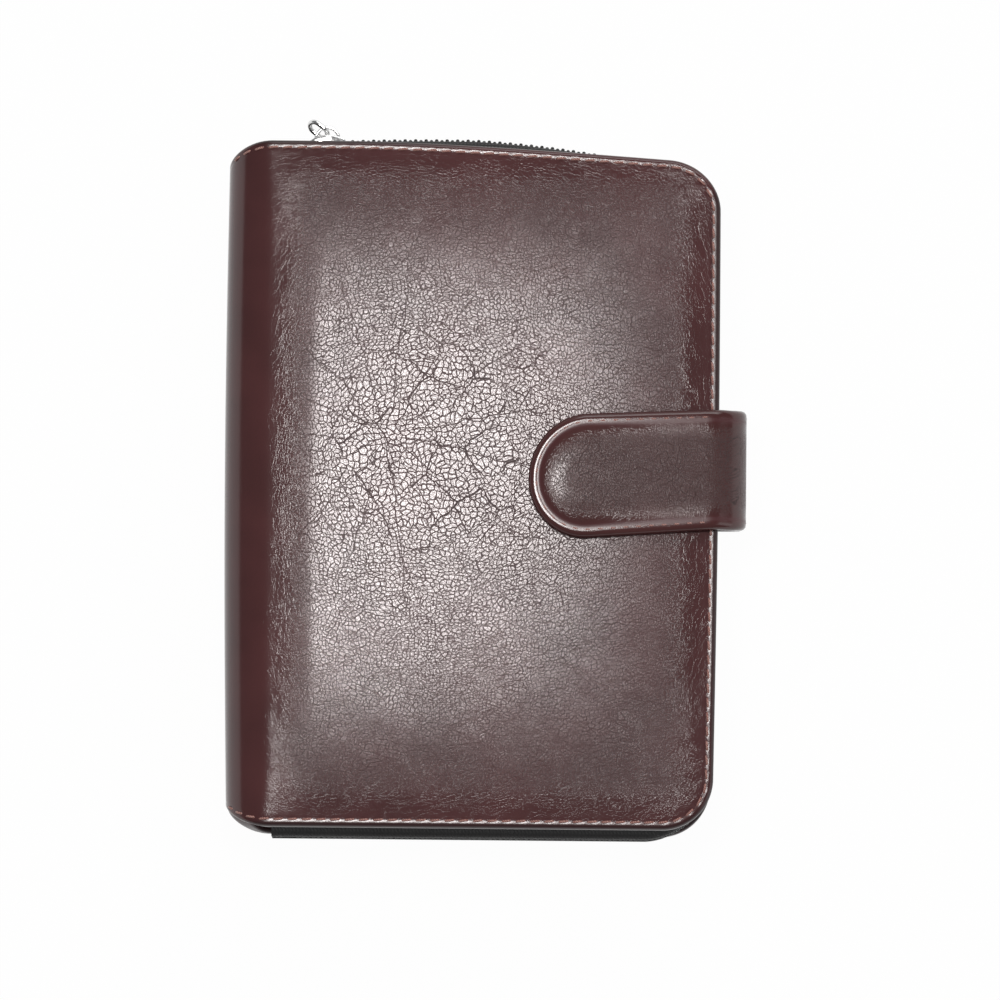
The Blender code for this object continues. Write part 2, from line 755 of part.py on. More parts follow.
def build_rings(carriers, finishes):
    """The two halves: each is a blade with six half rings staked into it."""
    face = RING_LEFT + BLADE / 2 + FIT / 3
    tip = math.asin(FIT / 2 / RING_RADIUS)
    for side, flip in (("front", 1), ("back", -1)):
        outline = blade_outline(flip)
        sections = [[(x, y, z) for y, z in outline] for x in (face - BLADE, face)]
        name = "ring_half_" + side
        half = solid(name, loft(bmesh.new(), sections), finishes["chrome"], carriers[side], True)
        bm = bmesh.new()
        for y in RING_PLACES:
            ring_arc(bm, y, RING_WIRE / 2, tip, RING_ROOT_ANGLE, ARC_STEPS * 2, WIRE_SIDES, flip)
        rods = solid("half_rings_" + side, bm, finishes["chrome"], carriers[side], True)
        boolean(half, rods, "UNION")


def shield_shape():
    """Radius and axis of the arched shield, from its width and rise."""
    radius = (SHIELD_HALF_WIDTH ** 2 + SHIELD_RISE ** 2) / (2 * SHIELD_RISE)
    foot = X_SPINE + WALL + 2 * FIT
    return radius, foot + SHIELD_RISE - radius


def build_shield(carrier, finishes):
    """Arched shield over the blades, slotted for the rings, with its two rivets."""
    radius, axis = shield_shape()
    reach = math.degrees(math.asin(SHIELD_HALF_WIDTH / radius))
    outer = arc((axis, Z_MID), radius, -reach, reach, ARC_STEPS + 2)
    inner = arc((axis, Z_MID), radius - SHIELD_SHEET, reach, -reach, ARC_STEPS + 2)
    sections = [[(x, y, z) for x, z in outer + inner] for y in (-SHIELD_HALF_LENGTH, SHIELD_HALF_LENGTH)]
    shield = solid("ring_shield", loft(bmesh.new(), sections), finishes["chrome"], carrier, True)

    bm = bmesh.new()
    half_slot = RING_WIRE / 2 + SLOT_PLAY
    past = axis + radius + SHIELD_RISE
    for y in RING_PLACES:
        for low, high in ((SLOT_LOW, SLOT_HIGH), (-SLOT_HIGH, -SLOT_LOW)):
            box(bm, (axis, y - half_slot, Z_MID + low), (past, y + half_slot, Z_MID + high))
    for y in (-rivet_place(), rivet_place()):
        hole = circle((y, Z_MID), RIVET_SHANK / 2 + FIT, RIVET_SIDES)
        loft(bm, [[(x, *point) for point in hole] for x in (axis, past)])
    slots = solid("shield_slots", bm, finishes["chrome"], carrier)
    boolean(shield, slots, "DIFFERENCE")

    seat = axis + radius + FIT
    foot = X_SPINE + WALL + FIT
    profile = [(foot, RIVET_SHANK / 2), (seat, RIVET_SHANK / 2)]
    profile += [(seat + RIVET_DOME * rise, RIVET_HEAD / 2 * size) for rise, size in RIVET_PROFILE]
    for end, y in (("top", rivet_place()), ("bottom", -rivet_place())):
        sections = [[(x, *point) for point in circle((y, Z_MID), size, RIVET_SIDES)] for x, size in profile]
        solid("ring_rivet_" + end, loft(bmesh.new(), sections), finishes["chrome"], carrier, True)


def lever_pivot(side):
    face = RING_LEFT + BLADE / 2 + FIT / 3
    return Vector((face, side * (SHIELD_HALF_LENGTH - LEVER_PIVOT_IN), Z_MID))


def build_lever(name, side, carrier, finishes):
    """Trigger lever: a tongue against the blades and a pad that stands up past the shield."""
    place = lever_pivot(side)
    tongue = SHIELD_HALF_LENGTH - BLADE_END_GAP + FIT
    corner = abs(place.y) + LEVER_SHEET
    low = place.x - LEVER_SHEET / 2
    outline = [
        (low, tongue),
        (low, corner + LEVER_SLANT),
        (low + LEVER_RISE, corner + LEVER_REACH),
        (low + LEVER_RISE + LEVER_SLANT, corner + LEVER_REACH - LEVER_SHEET),
        (low + LEVER_SHEET, corner - LEVER_SLANT),
        (low + LEVER_SHEET, tongue),
    ]
    edges = (Z_MID - LEVER_HALF_WIDTH, Z_MID + LEVER_HALF_WIDTH)
    sections = [[(x, side * y, z) for x, y in outline] for z in edges]
    solid(name, loft(bmesh.new(), sections), finishes["chrome"], carrier)


def page_edge(z):
    """Left edge of a sheet at a height from mid-thickness: its holes follow the rings."""
    return RING_X + math.sqrt(RING_RADIUS ** 2 - z ** 2) - PUNCH_MARGIN


def punch_tool(name, flip, carrier, finishes):
    """Cutter for the six punched holes, bent about the ring's centre like the stack."""
    bm = bmesh.new()
    reach = math.asin(STACK_HALF / RING_RADIUS) + PUNCH_OVERRUN
    for y in RING_PLACES:
        ring_arc(bm, y, PUNCH_RADIUS, -PUNCH_OVERRUN / 2, reach, PUNCH_STEPS, WIRE_SIDES, flip)
    return solid(name, bm, finishes["paper"], carrier)


def page_block(low, high, flip):
    heights = [low + (high - low) * step / PAGE_STEPS for step in range(PAGE_STEPS + 1)]
    left = [(page_edge(z), Z_MID + flip * z) for z in heights]
    right = [(x + PAGE_WIDTH, z) for x, z in reversed(left)]
    half = PAGE_HEIGHT / 2
    return loft(bmesh.new(), [[(x, y, z) for x, z in left + right] for y in (-half, half)])


def divider_sheet(low, flip, tab_low):
    """A card divider with a rounded tab past the pages' fore edge."""
    left = page_edge(low)
    right = left + PAGE_WIDTH
    half = PAGE_HEIGHT / 2
    tab_high = tab_low + TAB_LENGTH
    corner = right + TAB_REACH - TAB_CORNER
    outline = [(left, -half), (right, -half), (right, tab_low)]
    outline += arc((corner, tab_low + TAB_CORNER), TAB_CORNER, -90, 0, BEND_STEPS)
    outline += arc((corner, tab_high - TAB_CORNER), TAB_CORNER, 0, 90, BEND_STEPS)
    outline += [(right, tab_high), (right, half), (left, half)]
    heights = sorted((Z_MID + flip * low, Z_MID + flip * (low + DIVIDER)))
    return plate(bmesh.new(), outline, heights[0], heights[1])


def build_pages(carriers, finishes):
    """Two stacks that part at mid-thickness, each of two sections about a tabbed divider."""
    for side, flip, tab_low in (("front", 1, TAB_LENGTH), ("back", -1, -TAB_LENGTH / 2)):
        carrier = carriers[side]
        tool = punch_tool("punch_" + side, flip, carrier, finishes)
        divider_low = FIT + INNER_SECTION + FIT
        outer_low = divider_low + DIVIDER + FIT
        pieces = (
            (side + "_pages_inner", page_block(FIT, FIT + INNER_SECTION, flip), "paper"),
            (side + "_tab_divider", divider_sheet(divider_low, flip, tab_low), "divider"),
            (side + "_pages_outer", page_block(outer_low, STACK_HALF, flip), "paper"),
        )
        for name, bm, finish in pieces:
            boolean(solid(name, bm, finishes[finish], carrier), tool, "DIFFERENCE")


def build_card_slots(carrier, finishes):
    """Slip pocket and stepped card slots, sewn one on another inside the front cover."""
    top = CASE_THICKNESS - WALL - FIT
    low = (POCKET_LEFT, -Y_TOP + POCKET_MARGIN)
    high = (X_FORE - POCKET_MARGIN, Y_TOP - POCKET_MARGIN)
    outline = rounded_rectangle(low, high, POCKET_CORNER)
    solid("front_pocket", plate(bmesh.new(), outline, top - POCKET_SHEET, top), finishes["pocket"], carrier)
    for slot in range(CARD_SLOTS):
        top -= POCKET_SHEET + FIT
        corner_low = (low[0] + CARD_MARGIN, low[1] + CARD_MARGIN)
        corner_high = (high[0] - CARD_MARGIN, CARD_TOP - slot * CARD_STEP)
        outline = rounded_rectangle(corner_low, corner_high, POCKET_CORNER)
        name = "card_slot_%d" % (slot + 1)
        solid(name, plate(bmesh.new(), outline, top - POCKET_SHEET, top), finishes["pocket"], carrier)


def build_memo_pocket(carrier, finishes):
    """Memo pad on its card, held by a pocket with turned edges inside the back cover."""
    floor = WALL + FIT
    middle = (POCKET_LEFT + X_FORE - POCKET_MARGIN) / 2
    foot = -Y_TOP + POCKET_MARGIN + MEMO_POCKET_EDGE
    low = (middle - MEMO_WIDTH / 2, foot)
    high = (middle + MEMO_WIDTH / 2, foot + MEMO_HEIGHT)
    bm = box(bmesh.new(), (*low, floor), (*high, floor + MEMO_CARD))
    solid("memo_card", bm, finishes["card"], carrier)
    bottom = floor + MEMO_CARD + FIT
    bm = box(bmesh.new(), (*low, bottom), (*high, bottom + MEMO_PAD))
    solid("memo_pad", bm, finishes["paper"], carrier)

    lid = bottom + MEMO_PAD + FIT
    edge_low = (low[0] - FIT - POCKET_SHEET, low[1] - FIT - POCKET_SHEET)
    edge_high = (high[0] + FIT + POCKET_SHEET, foot + MEMO_POCKET_HEIGHT)
    sheet = POCKET_SHEET
    bm = box(bmesh.new(), (*edge_low, floor), (*edge_high, lid + sheet))
    pocket = solid("memo_pocket", bm, finishes["pocket"], carrier)
    hollow_low = (edge_low[0] + sheet, edge_low[1] + sheet, floor - sheet)
    hollow_high = (edge_high[0] - sheet, edge_high[1] + sheet, lid)
    tool = solid("memo_hollow", box(bmesh.new(), hollow_low, hollow_high), finishes["pocket"], carrier)
    boolean(pocket, tool, "DIFFERENCE")


def strap_heights():
    """Height of the strap's inner face where its upper bend starts, and the bends' middles."""
    lap_end = X_FORE + STRAP_STANDOFF - STRAP_BEND
    top = CASE_THICKNESS + crown_height(X_FORE - lap_end) + STRAP_CLEAR
    return lap_end, top


def strap_path(piece):
    """Inner face of the strap, in X and Z with its outward direction, from tip to root."""
    lap_end, top = strap_heights()
    tip = X_FORE - STRAP_LAP
    path = []
    if piece == "lap":
        width = STRAP_WIDTH / 2
        places = [tip + width * share for share in STRAP_TIP_SHARES]
        places += [tip + width + (lap_end - tip - width) * share for share in STRAP_RUN_SHARES]
        for x in places:
            path.append((x, CASE_THICKNESS + crown_height(X_FORE - x) + STRAP_CLEAR, 0, 1))
        first, last = 90, 45
    else:
        first, last = 45, 0
    seam_angle = math.degrees(FIT / 2 / (STRAP_BEND + STRAP_LINING))
    first -= seam_angle if piece == "side" else 0
    last += seam_angle if piece == "lap" else 0
    for step in range(BEND_STEPS + 1):
        angle = math.radians(first + (last - first) * step / BEND_STEPS)
        out = (math.cos(angle), math.sin(angle))
        path.append((lap_end + STRAP_BEND * out[0], top - STRAP_BEND + STRAP_BEND * out[1], *out))
    if piece == "side":
        root_bend = STRAP_STANDOFF - FIT - STRAP_ROOT_RUN
        foot = strap_root()[1] + strap_thickness()
        middle = (X_FORE + FIT + STRAP_ROOT_RUN, foot + root_bend)
        for step in range(BEND_STEPS + 2):
            angle = math.radians(-90 * step / (BEND_STEPS + 1))
            out = (math.cos(angle), math.sin(angle))
            path.append((middle[0] + root_bend * out[0], middle[1] + root_bend * out[1], *out))
        path.append((X_FORE + FIT, foot, 0, -1))
    return path


def strap_thickness():
    return STRAP_LINING + FIT + STRAP_LEATHER


def strap_root():
    """Where the strap leaves the back cover's seam: the outer side of its root."""
    return X_FORE + FIT, LEATHER


def strap_sheet(piece, low, high, pad):
    """One layer of the strap, between two heights over its inner face, with a padded middle."""
    tip = X_FORE - STRAP_LAP
    sections = []
    for x, z, out_x, out_z in strap_path(piece):
        half = STRAP_WIDTH / 2
        reach = min(max(x - tip, 0) / half, 1)
        if piece == "lap":
            half *= math.sqrt(1 - (1 - reach) ** 2)
        centre = STRAP_RISE + STRAP_SLANT * min(x - X_FORE, 0)
        shoulder = max(half - STRAP_EDGE, half * STRAP_SHOULDER)
        swell = pad * min(half / (STRAP_WIDTH / 2), 1)
        crest = shoulder * STRAP_SHOULDER
        rise = high + swell * STRAP_SHOULDER_SWELL
        profile = [(-half, low), (half, low), (half, high), (shoulder, rise), (crest, high + swell),
                   (-crest, high + swell), (-shoulder, rise), (-half, high)]
        sections.append([(x + out_x * over, centre + y, z + out_z * over) for y, over in profile])
    return loft(bmesh.new(), sections)


def build_strap(carriers, finishes):
    for piece in ("side", "lap"):
        low = STRAP_LINING + FIT
        bm = strap_sheet(piece, low, low + STRAP_LEATHER, STRAP_PAD)
        name = "strap_%s_leather" % piece
        leather = solid(name, bm, finishes["leather"], carriers[piece], True)
        bm = strap_sheet(piece, 0, STRAP_LINING, 0)
        name = "strap_%s_lining" % piece
        lining = solid(name, bm, finishes["lining"], carriers[piece], True)
        if piece == "lap":
            build_snap(leather, lining, carriers, finishes)


def disc(bm, centre, radius, low, high):
    return plate(bm, circle(centre, radius, ROUND_SIDES), low, high)


def build_snap(leather, lining, carriers, finishes):
    """Snap: a stud riveted to the front cover and a ring-shaped socket set in the strap's lining."""
    x = X_FORE - STRAP_LAP + SNAP_FROM_TIP
    y = STRAP_RISE + STRAP_SLANT * (x - X_FORE)
    face = CASE_THICKNESS + crown_height(X_FORE - x)
    under = face + STRAP_CLEAR
    high = under + STRAP_LINING + FIT
    bm = disc(bmesh.new(), (x, y), SNAP_STUD / 2, face + FIT, high - FIT)
    solid("snap_stud", bm, finishes["chrome"], carriers["front"], True)

    hole = SNAP_STUD / 2 + SNAP_PLAY
    outer = hole + SNAP_SHEET * 2
    ring = ((hole, under), (outer, under), (outer, high), (hole, high))
    sections = []
    for step in range(ROUND_SIDES):
        angle = 2 * math.pi * step / ROUND_SIDES
        sections.append([(x + r * math.cos(angle), y + r * math.sin(angle), h) for r, h in ring])
    bm = loft(bmesh.new(), sections, closed=True)
    solid("snap_socket", bm, finishes["chrome"], carriers["lap"], True)
    bm = disc(bmesh.new(), (x, y), outer + FIT, under - STRAP_CLEAR, high + FIT)
    tool = solid("snap_hole", bm, finishes["chrome"], carriers["lap"])
    boolean(lining, tool, "DIFFERENCE")
    boolean(leather, tool, "DIFFERENCE")


def make_finishes():
    return {
        "leather": material("burgundy_leather", (0.052, 0.019, 0.021), 0.38),
        "foam": material("padding_foam", (0.55, 0.52, 0.45), 0.9),
        "board": material("grey_board", (0.32, 0.30, 0.27), 0.85),
        "lining": material("dark_lining", (0.022, 0.014, 0.014), 0.7),
        "tape": material("charcoal_tape", (0.016, 0.015, 0.015), 0.85),
        "teeth": material("black_teeth", (0.012, 0.011, 0.011), 0.35),
        "chrome": material("bright_chrome", (0.78, 0.78, 0.77), 0.16, 1.0),
        "paper": material("cream_paper", (0.83, 0.80, 0.71), 0.8),
        "divider": material("divider_card", (0.60, 0.52, 0.40), 0.7),
        "card": material("grey_card", (0.42, 0.39, 0.34), 0.8),
        "pocket": material("pocket_leather", (0.030, 0.014, 0.015), 0.5),
    }


def build():
    clear_scene()
    finishes = make_finishes()
    back = pivot("pivot_back_cover", (0, 0, 0))
    spine = pivot("pivot_spine", (HINGE_X, 0, HINGE_FROM_FACE), back)
    front = pivot("pivot_front_cover", (HINGE_X, 0, CASE_THICKNESS - HINGE_FROM_FACE), spine)
    ring_centre = (RING_X, 0, Z_MID)
    pages = {side: pivot("pivot_%s_pages" % side, ring_centre, spine) for side in ("front", "back")}
    ring_axis = (RING_LEFT, 0, Z_MID)
    rings = {side: pivot("pivot_ring_%s" % side, ring_axis, spine) for side in ("front", "back")}
    slider = pivot("pivot_slider", slider_frame()[0], back)
    pull = pivot("pivot_pull", pull_pivot(), slider)
    root = strap_root()
    strap_side = pivot("pivot_strap_side", (root[0], STRAP_RISE, root[1]), back)
    lap_end, top = strap_heights()
    out = (STRAP_BEND + strap_thickness()) * math.sin(math.pi / 4)
    lap_axis = (lap_end + out, STRAP_RISE, top - STRAP_BEND + out)
    strap_lap = pivot("pivot_strap_lap", lap_axis, strap_side)

    build_cover("back", on_back, 0, back, finishes)
    build_spine(spine, finishes)
    build_cover("front", on_front, FRONT_CROWN, front, finishes)
    build_zip(front, back, finishes)
    build_slider(slider, finishes)
    build_pull(pull, finishes)
    build_shield(spine, finishes)
    build_rings(rings, finishes)
    for name, side in (("trigger_top", 1), ("trigger_bottom", -1)):
        carrier = pivot("pivot_" + name, lever_pivot(side), spine)
        build_lever(name, side, carrier, finishes)
    build_pages(pages, finishes)
    build_card_slots(front, finishes)
    build_memo_pocket(back, finishes)
    build_strap({"side": strap_side, "lap": strap_lap, "front": front}, finishes)


build()
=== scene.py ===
# %% [markdown]
# # A zip-around planner
#
# The planner is a padded case of burgundy leather over board. It folds round a soft spine, a zip closes
# three of its sides, and a strap with a hidden snap laps over the front. Six rings inside hold the pages.
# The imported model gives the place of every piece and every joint, so it is loaded first and never moved.
# This lesson then lays finer pieces over it, one after another, and gives each its finish.

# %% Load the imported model
import math
import bpy
from mathutils import Matrix, Vector


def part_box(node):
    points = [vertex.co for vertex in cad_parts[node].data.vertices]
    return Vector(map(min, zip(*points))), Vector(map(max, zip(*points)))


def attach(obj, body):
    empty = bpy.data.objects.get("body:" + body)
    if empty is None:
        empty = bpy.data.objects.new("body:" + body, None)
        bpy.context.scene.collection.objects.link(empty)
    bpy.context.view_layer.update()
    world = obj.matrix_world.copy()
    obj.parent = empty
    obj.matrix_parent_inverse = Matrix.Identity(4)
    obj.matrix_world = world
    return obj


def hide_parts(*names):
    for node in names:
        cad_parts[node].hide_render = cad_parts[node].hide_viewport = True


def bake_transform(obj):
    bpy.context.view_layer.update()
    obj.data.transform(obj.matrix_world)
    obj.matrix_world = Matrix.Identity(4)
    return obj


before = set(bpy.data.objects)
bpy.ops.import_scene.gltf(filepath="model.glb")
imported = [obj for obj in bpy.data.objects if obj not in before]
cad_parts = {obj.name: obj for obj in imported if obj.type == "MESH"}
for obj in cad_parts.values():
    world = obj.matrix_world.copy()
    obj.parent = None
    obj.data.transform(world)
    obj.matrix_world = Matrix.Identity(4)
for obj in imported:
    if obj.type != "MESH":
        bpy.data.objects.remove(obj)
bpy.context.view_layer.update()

# %% [markdown]
# ## Sizes
#
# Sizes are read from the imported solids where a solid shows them, and named where it doesn't.
# Working in metres with a value for one millimetre keeps each number readable.

# %% Sizes of the case
MM = 0.001
back_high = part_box("back_leather")[1]
spine_low, spine_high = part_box("spine_leather")
X_FORE = back_high[0]
Y_TOP = back_high[1]
X_SPINE = spine_low[0]
THICKNESS = spine_low[2] + spine_high[2]
Z_MID = THICKNESS / 2
BEND_RADIUS = 12 * MM
ZIP_CORNER = 18 * MM
CORNER_RADIUS = 14 * MM
WALL = 5.3 * MM
CASE_FIT = 0.3 * MM
X_BEND = X_SPINE + BEND_RADIUS
CORNER_X = X_FORE - CORNER_RADIUS
CORNER_Y = Y_TOP - CORNER_RADIUS
BEND_ARC = BEND_RADIUS * math.pi / 2
HALF_SPINE = BEND_ARC + Z_MID - BEND_RADIUS
print("case", X_FORE - X_SPINE, Y_TOP * 2, THICKNESS)

# %% [markdown]
# ## Small helpers for materials
#
# Every finish is a small node tree. One helper starts a material with its shader, another adds a node
# and fills its sockets, with either a plain value or a link from an earlier node.

# %% Material helpers
def new_finish(name, **sockets):
    finish = bpy.data.materials.new(name)
    finish.use_nodes = True
    tree = finish.node_tree
    shader = tree.nodes["Principled BSDF"]
    for socket, value in sockets.items():
        shader.inputs[socket.replace("_", " ")].default_value = value
    return finish, tree, shader


def add_node(tree, kind, sockets, **settings):
    node = tree.nodes.new("ShaderNode" + kind)
    for name, value in settings.items():
        setattr(node, name, value)
    for socket, value in sockets.items():
        if isinstance(value, bpy.types.NodeSocket):
            tree.links.new(value, node.inputs[socket])
        else:
            node.inputs[socket].default_value = value
    return node


def object_place(tree):
    return add_node(tree, "TexCoord", {}).outputs["Object"]


def noise(tree, place, scale, detail, output="Fac"):
    sockets = {"Vector": place, "Scale": scale, "Detail": detail}
    return add_node(tree, "TexNoise", sockets).outputs[output]


def math_step(tree, operation, first, second):
    return add_node(tree, "Math", {0: first, 1: second}, operation=operation).outputs[0]


def times(tree, first, second):
    return math_step(tree, "MULTIPLY", first, second)


def plus(tree, first, second):
    return math_step(tree, "ADD", first, second)


def larger(tree, first, second):
    return math_step(tree, "MAXIMUM", first, second)


def ramp_between(tree, value, low, high, start=0.0, end=1.0):
    sockets = {"Value": value, "From Min": low, "From Max": high, "To Min": start, "To Max": end}
    node = add_node(tree, "MapRange", sockets, interpolation_type="SMOOTHSTEP")
    return node.outputs["Result"]


def colour_between(tree, share, first, second):
    node = add_node(tree, "Mix", {"Factor": share}, data_type="RGBA")
    for index, colour in ((6, first), (7, second)):
        if isinstance(colour, bpy.types.NodeSocket):
            tree.links.new(colour, node.inputs[index])
        else:
            node.inputs[index].default_value = (*colour, 1)
    return node.outputs[2]


def connect(tree, shader, **sockets):
    for socket, output in sockets.items():
        tree.links.new(output, shader.inputs[socket.replace("_", " ")])


def add_bump(tree, shader, height, depth, strength=1.0):
    bump = add_node(tree, "Bump", {"Height": height, "Distance": depth, "Strength": strength})
    tree.links.new(bump.outputs["Normal"], shader.inputs["Normal"])


print("material helpers ready")

# %% [markdown]
# ## The leather
#
# The cover is a thin glossy leather, burgundy turning to brown. Its padded middle is covered with small
# rounded cells about 1 mm across, and longer creases run in arcs round the middle, because the padding has
# pushed the leather out from there. Towards the edges, where it is pulled tight over the board, it turns
# smooth. A Voronoi texture that returns the distance to the cell's edge gives both. Its coordinates are
# stretched away from the middle, so the cells lie along the arcs, and shifted by noise, so they don't stand
# in a grid. How strong the grain is comes from an attribute, because it depends on the piece's own edge.
# The cell lines and creases are also painted darker, as shade in them, and a second attribute paints shade on
# the covers' outer rims and in the strap's stitch valley.

# %% Leather grain
CREASE_SCALE = 175.0
GRAIN_MIDDLE = (-10 * MM, 11 * MM, 0)
GRAIN_SLANT = 0.6
STAR_MIDDLE = (-21 * MM, 14 * MM, 0)
STAR_ARMS = 15.0
STAR_LINE = 0.15 * MM
STAR_HOLE = (2 * MM, 6 * MM)
STAR_END = (40 * MM, 52 * MM)
ARC_CORE = 25 * MM
ARC_REFERENCE = 45 * MM
CREASE_FLOW = 1.1
CREASE_LINE = 0.026
CREASE_DEPTH = 0.8
BREAK_SCALE = 90.0
BREAK_SPAN = (0.38, 0.55)


def flattened_place(tree, place):
    """The place seen from above, slanted with depth, so that upright leather has a grain as well."""
    parts = add_node(tree, "SeparateXYZ", {"Vector": place}).outputs
    depth = math_step(tree, "SUBTRACT", parts["Z"], THICKNESS)
    across = plus(tree, parts["X"], depth)
    along = plus(tree, parts["Y"], times(tree, depth, GRAIN_SLANT))
    return add_node(tree, "CombineXYZ", {"X": across, "Y": along}).outputs[0]


def shifted_place(tree, place, scale, reach):
    drift = noise(tree, place, scale, 2.0, "Color")
    centred = add_node(tree, "VectorMath", {0: drift, 1: (0.5, 0.5, 0.5)}, operation="SUBTRACT")
    scaled = add_node(tree, "VectorMath", {0: centred.outputs[0], "Scale": reach}, operation="SCALE")
    moved = add_node(tree, "VectorMath", {0: place, 1: scaled.outputs[0]}, operation="ADD")
    return moved.outputs[0]


def centred_on(tree, place, middle):
    offset = tuple(-value for value in middle)
    return add_node(tree, "Mapping", {"Vector": place, "Location": offset}).outputs[0]


def arc_flow(tree, place, power):
    """Places stretched away from the cover's middle, so that what is drawn there lies along arcs round it."""
    centred = centred_on(tree, place, GRAIN_MIDDLE)
    reach = add_node(tree, "VectorMath", {0: centred}, operation="LENGTH").outputs["Value"]
    share = math_step(tree, "DIVIDE", larger(tree, reach, ARC_CORE), ARC_REFERENCE)
    grown = math_step(tree, "POWER", share, power)
    return add_node(tree, "VectorMath", {0: centred, "Scale": grown}, operation="SCALE").outputs[0]


def cell_edges(tree, place, scale):
    sockets = {"Vector": place, "Scale": scale}
    node = add_node(tree, "TexVoronoi", sockets, voronoi_dimensions="2D", feature="DISTANCE_TO_EDGE")
    return node.outputs["Distance"]


def star_creases(tree, place):
    """Creases that run out from one spot, strongest a little away from it."""
    centred = centred_on(tree, place, STAR_MIDDLE)
    turn = add_node(tree, "TexGradient", {"Vector": centred}, gradient_type="RADIAL").outputs["Fac"]
    arms = math_step(tree, "PINGPONG", times(tree, turn, STAR_ARMS), 0.5)
    radius = add_node(tree, "VectorMath", {0: centred}, operation="LENGTH").outputs["Value"]
    inner = ramp_between(tree, radius, *STAR_HOLE)
    outer = ramp_between(tree, radius, *STAR_END, CREASE_DEPTH, 0.0)
    apart = times(tree, arms, times(tree, radius, 2 * math.pi / STAR_ARMS))
    lines = ramp_between(tree, apart, 0.0, STAR_LINE, CREASE_DEPTH, 0.0)
    return times(tree, lines, times(tree, inner, outer))


def arc_creases(tree, place):
    """Long thin creases along the arcs, broken up by noise."""
    flow = arc_flow(tree, place, CREASE_FLOW)
    edges = cell_edges(tree, flow, CREASE_SCALE)
    lines = ramp_between(tree, edges, 0.0, CREASE_LINE, CREASE_DEPTH, 0.0)
    broken = ramp_between(tree, noise(tree, place, BREAK_SCALE, 2.0), *BREAK_SPAN)
    return times(tree, lines, broken)


print("creases to the metre", CREASE_SCALE)

# %% Leather finish
CELL_SCALE = 820.0
STRAP_CELL_SCALE = 1150.0
CELL_FLOW = 0.35
CELL_LINE = 0.13
CELL_DEPTH = 0.68
FINE_SHARE = 2.2
FINE_LINE = 0.12
FINE_DEPTH = 0.2
GRAIN_DEPTH = 0.034 * MM
BROAD_DRIFT = (100.0, 5 * MM)
SMALL_DRIFT = (420.0, 1.2 * MM)
FINE_DRIFT = (900.0, 0.5 * MM)
PORES = (2000.0, 1.0)
PORE_SHARE = 0.17
SWELLS = (150.0, 2.0)
SWELL_SHARE = 0.4
RIPPLES = (620.0, 1.0)
RIPPLE_SHARE = 0.25
CLOUDS = (38.0, 3.0)
CLOUD_SHARE = 0.3
GRAIN_MATT = 0.15
SHADE_MATT = 0.5
MATT = 0.62


def leather_finish(name, deep, face, shade_colour, gloss, cells=CELL_SCALE):
    finish, tree, shader = new_finish(name, Specular_IOR_Level=0.55)
    place = object_place(tree)
    grain = add_node(tree, "Attribute", {}, attribute_name="grain").outputs["Fac"]
    painted_shade = add_node(tree, "Attribute", {}, attribute_name="painted_shade").outputs["Fac"]
    bent = shifted_place(tree, flattened_place(tree, place), *BROAD_DRIFT)
    wavy = shifted_place(tree, bent, *SMALL_DRIFT)
    flow = shifted_place(tree, arc_flow(tree, wavy, CELL_FLOW), *FINE_DRIFT)
    lines = ramp_between(tree, cell_edges(tree, flow, cells), 0.0, CELL_LINE, CELL_DEPTH, 0.0)
    fine_edges = cell_edges(tree, flow, cells * FINE_SHARE)
    fine_lines = ramp_between(tree, fine_edges, 0.0, FINE_LINE, FINE_DEPTH, 0.0)
    creases = larger(tree, arc_creases(tree, wavy), star_creases(tree, bent))
    valleys = larger(tree, lines, fine_lines)
    crease_shade_and_matt = times(tree, larger(tree, valleys, creases), grain)
    dip = times(tree, plus(tree, valleys, creases), grain)
    pores = times(tree, times(tree, noise(tree, place, *PORES), PORE_SHARE), grain)
    swells = times(tree, noise(tree, place, *SWELLS), SWELL_SHARE)
    ripples = times(tree, times(tree, noise(tree, flow, *RIPPLES), RIPPLE_SHARE), grain)
    skin = plus(tree, pores, plus(tree, swells, ripples))
    add_bump(tree, shader, math_step(tree, "SUBTRACT", skin, dip), GRAIN_DEPTH)
    clouds = ramp_between(tree, noise(tree, place, *CLOUDS), 0.3, 0.7)
    tone = plus(tree, times(tree, clouds, CLOUD_SHARE), 1 - CLOUD_SHARE)
    # Painted shade: the cell lines and creases are drawn towards the deep colour, as the shade that falls in
    # them; the tone is a random mottle.
    colour = colour_between(tree, math_step(tree, "SUBTRACT", tone, crease_shade_and_matt), deep, face)
    # Painted shade: where the shade attribute is set, on the covers' outer rim and wall and in the strap's
    # stitch valley, the colour turns darker; the same attribute also makes the leather more matt.
    colour = colour_between(tree, painted_shade, colour, shade_colour)
    matt = plus(tree, crease_shade_and_matt, times(tree, grain, GRAIN_MATT))
    matt = times(tree, matt, math_step(tree, "MINIMUM", grain, 1.0))
    dull = plus(tree, matt, times(tree, painted_shade, SHADE_MATT))
    rough = ramp_between(tree, dull, 0.0, 1.0, gloss, MATT)
    connect(tree, shader, Base_Color=colour, Roughness=rough)
    return finish


# Painted shade: the covers' outer rim and wall, which face away from the light, are darkened to this colour.
SHADED_EDGE = (0.026, 0.008, 0.008)
# Painted shade: the strap's stitch valley is darkened to this red.
SHADED_VALLEY = (0.066, 0.015, 0.017)
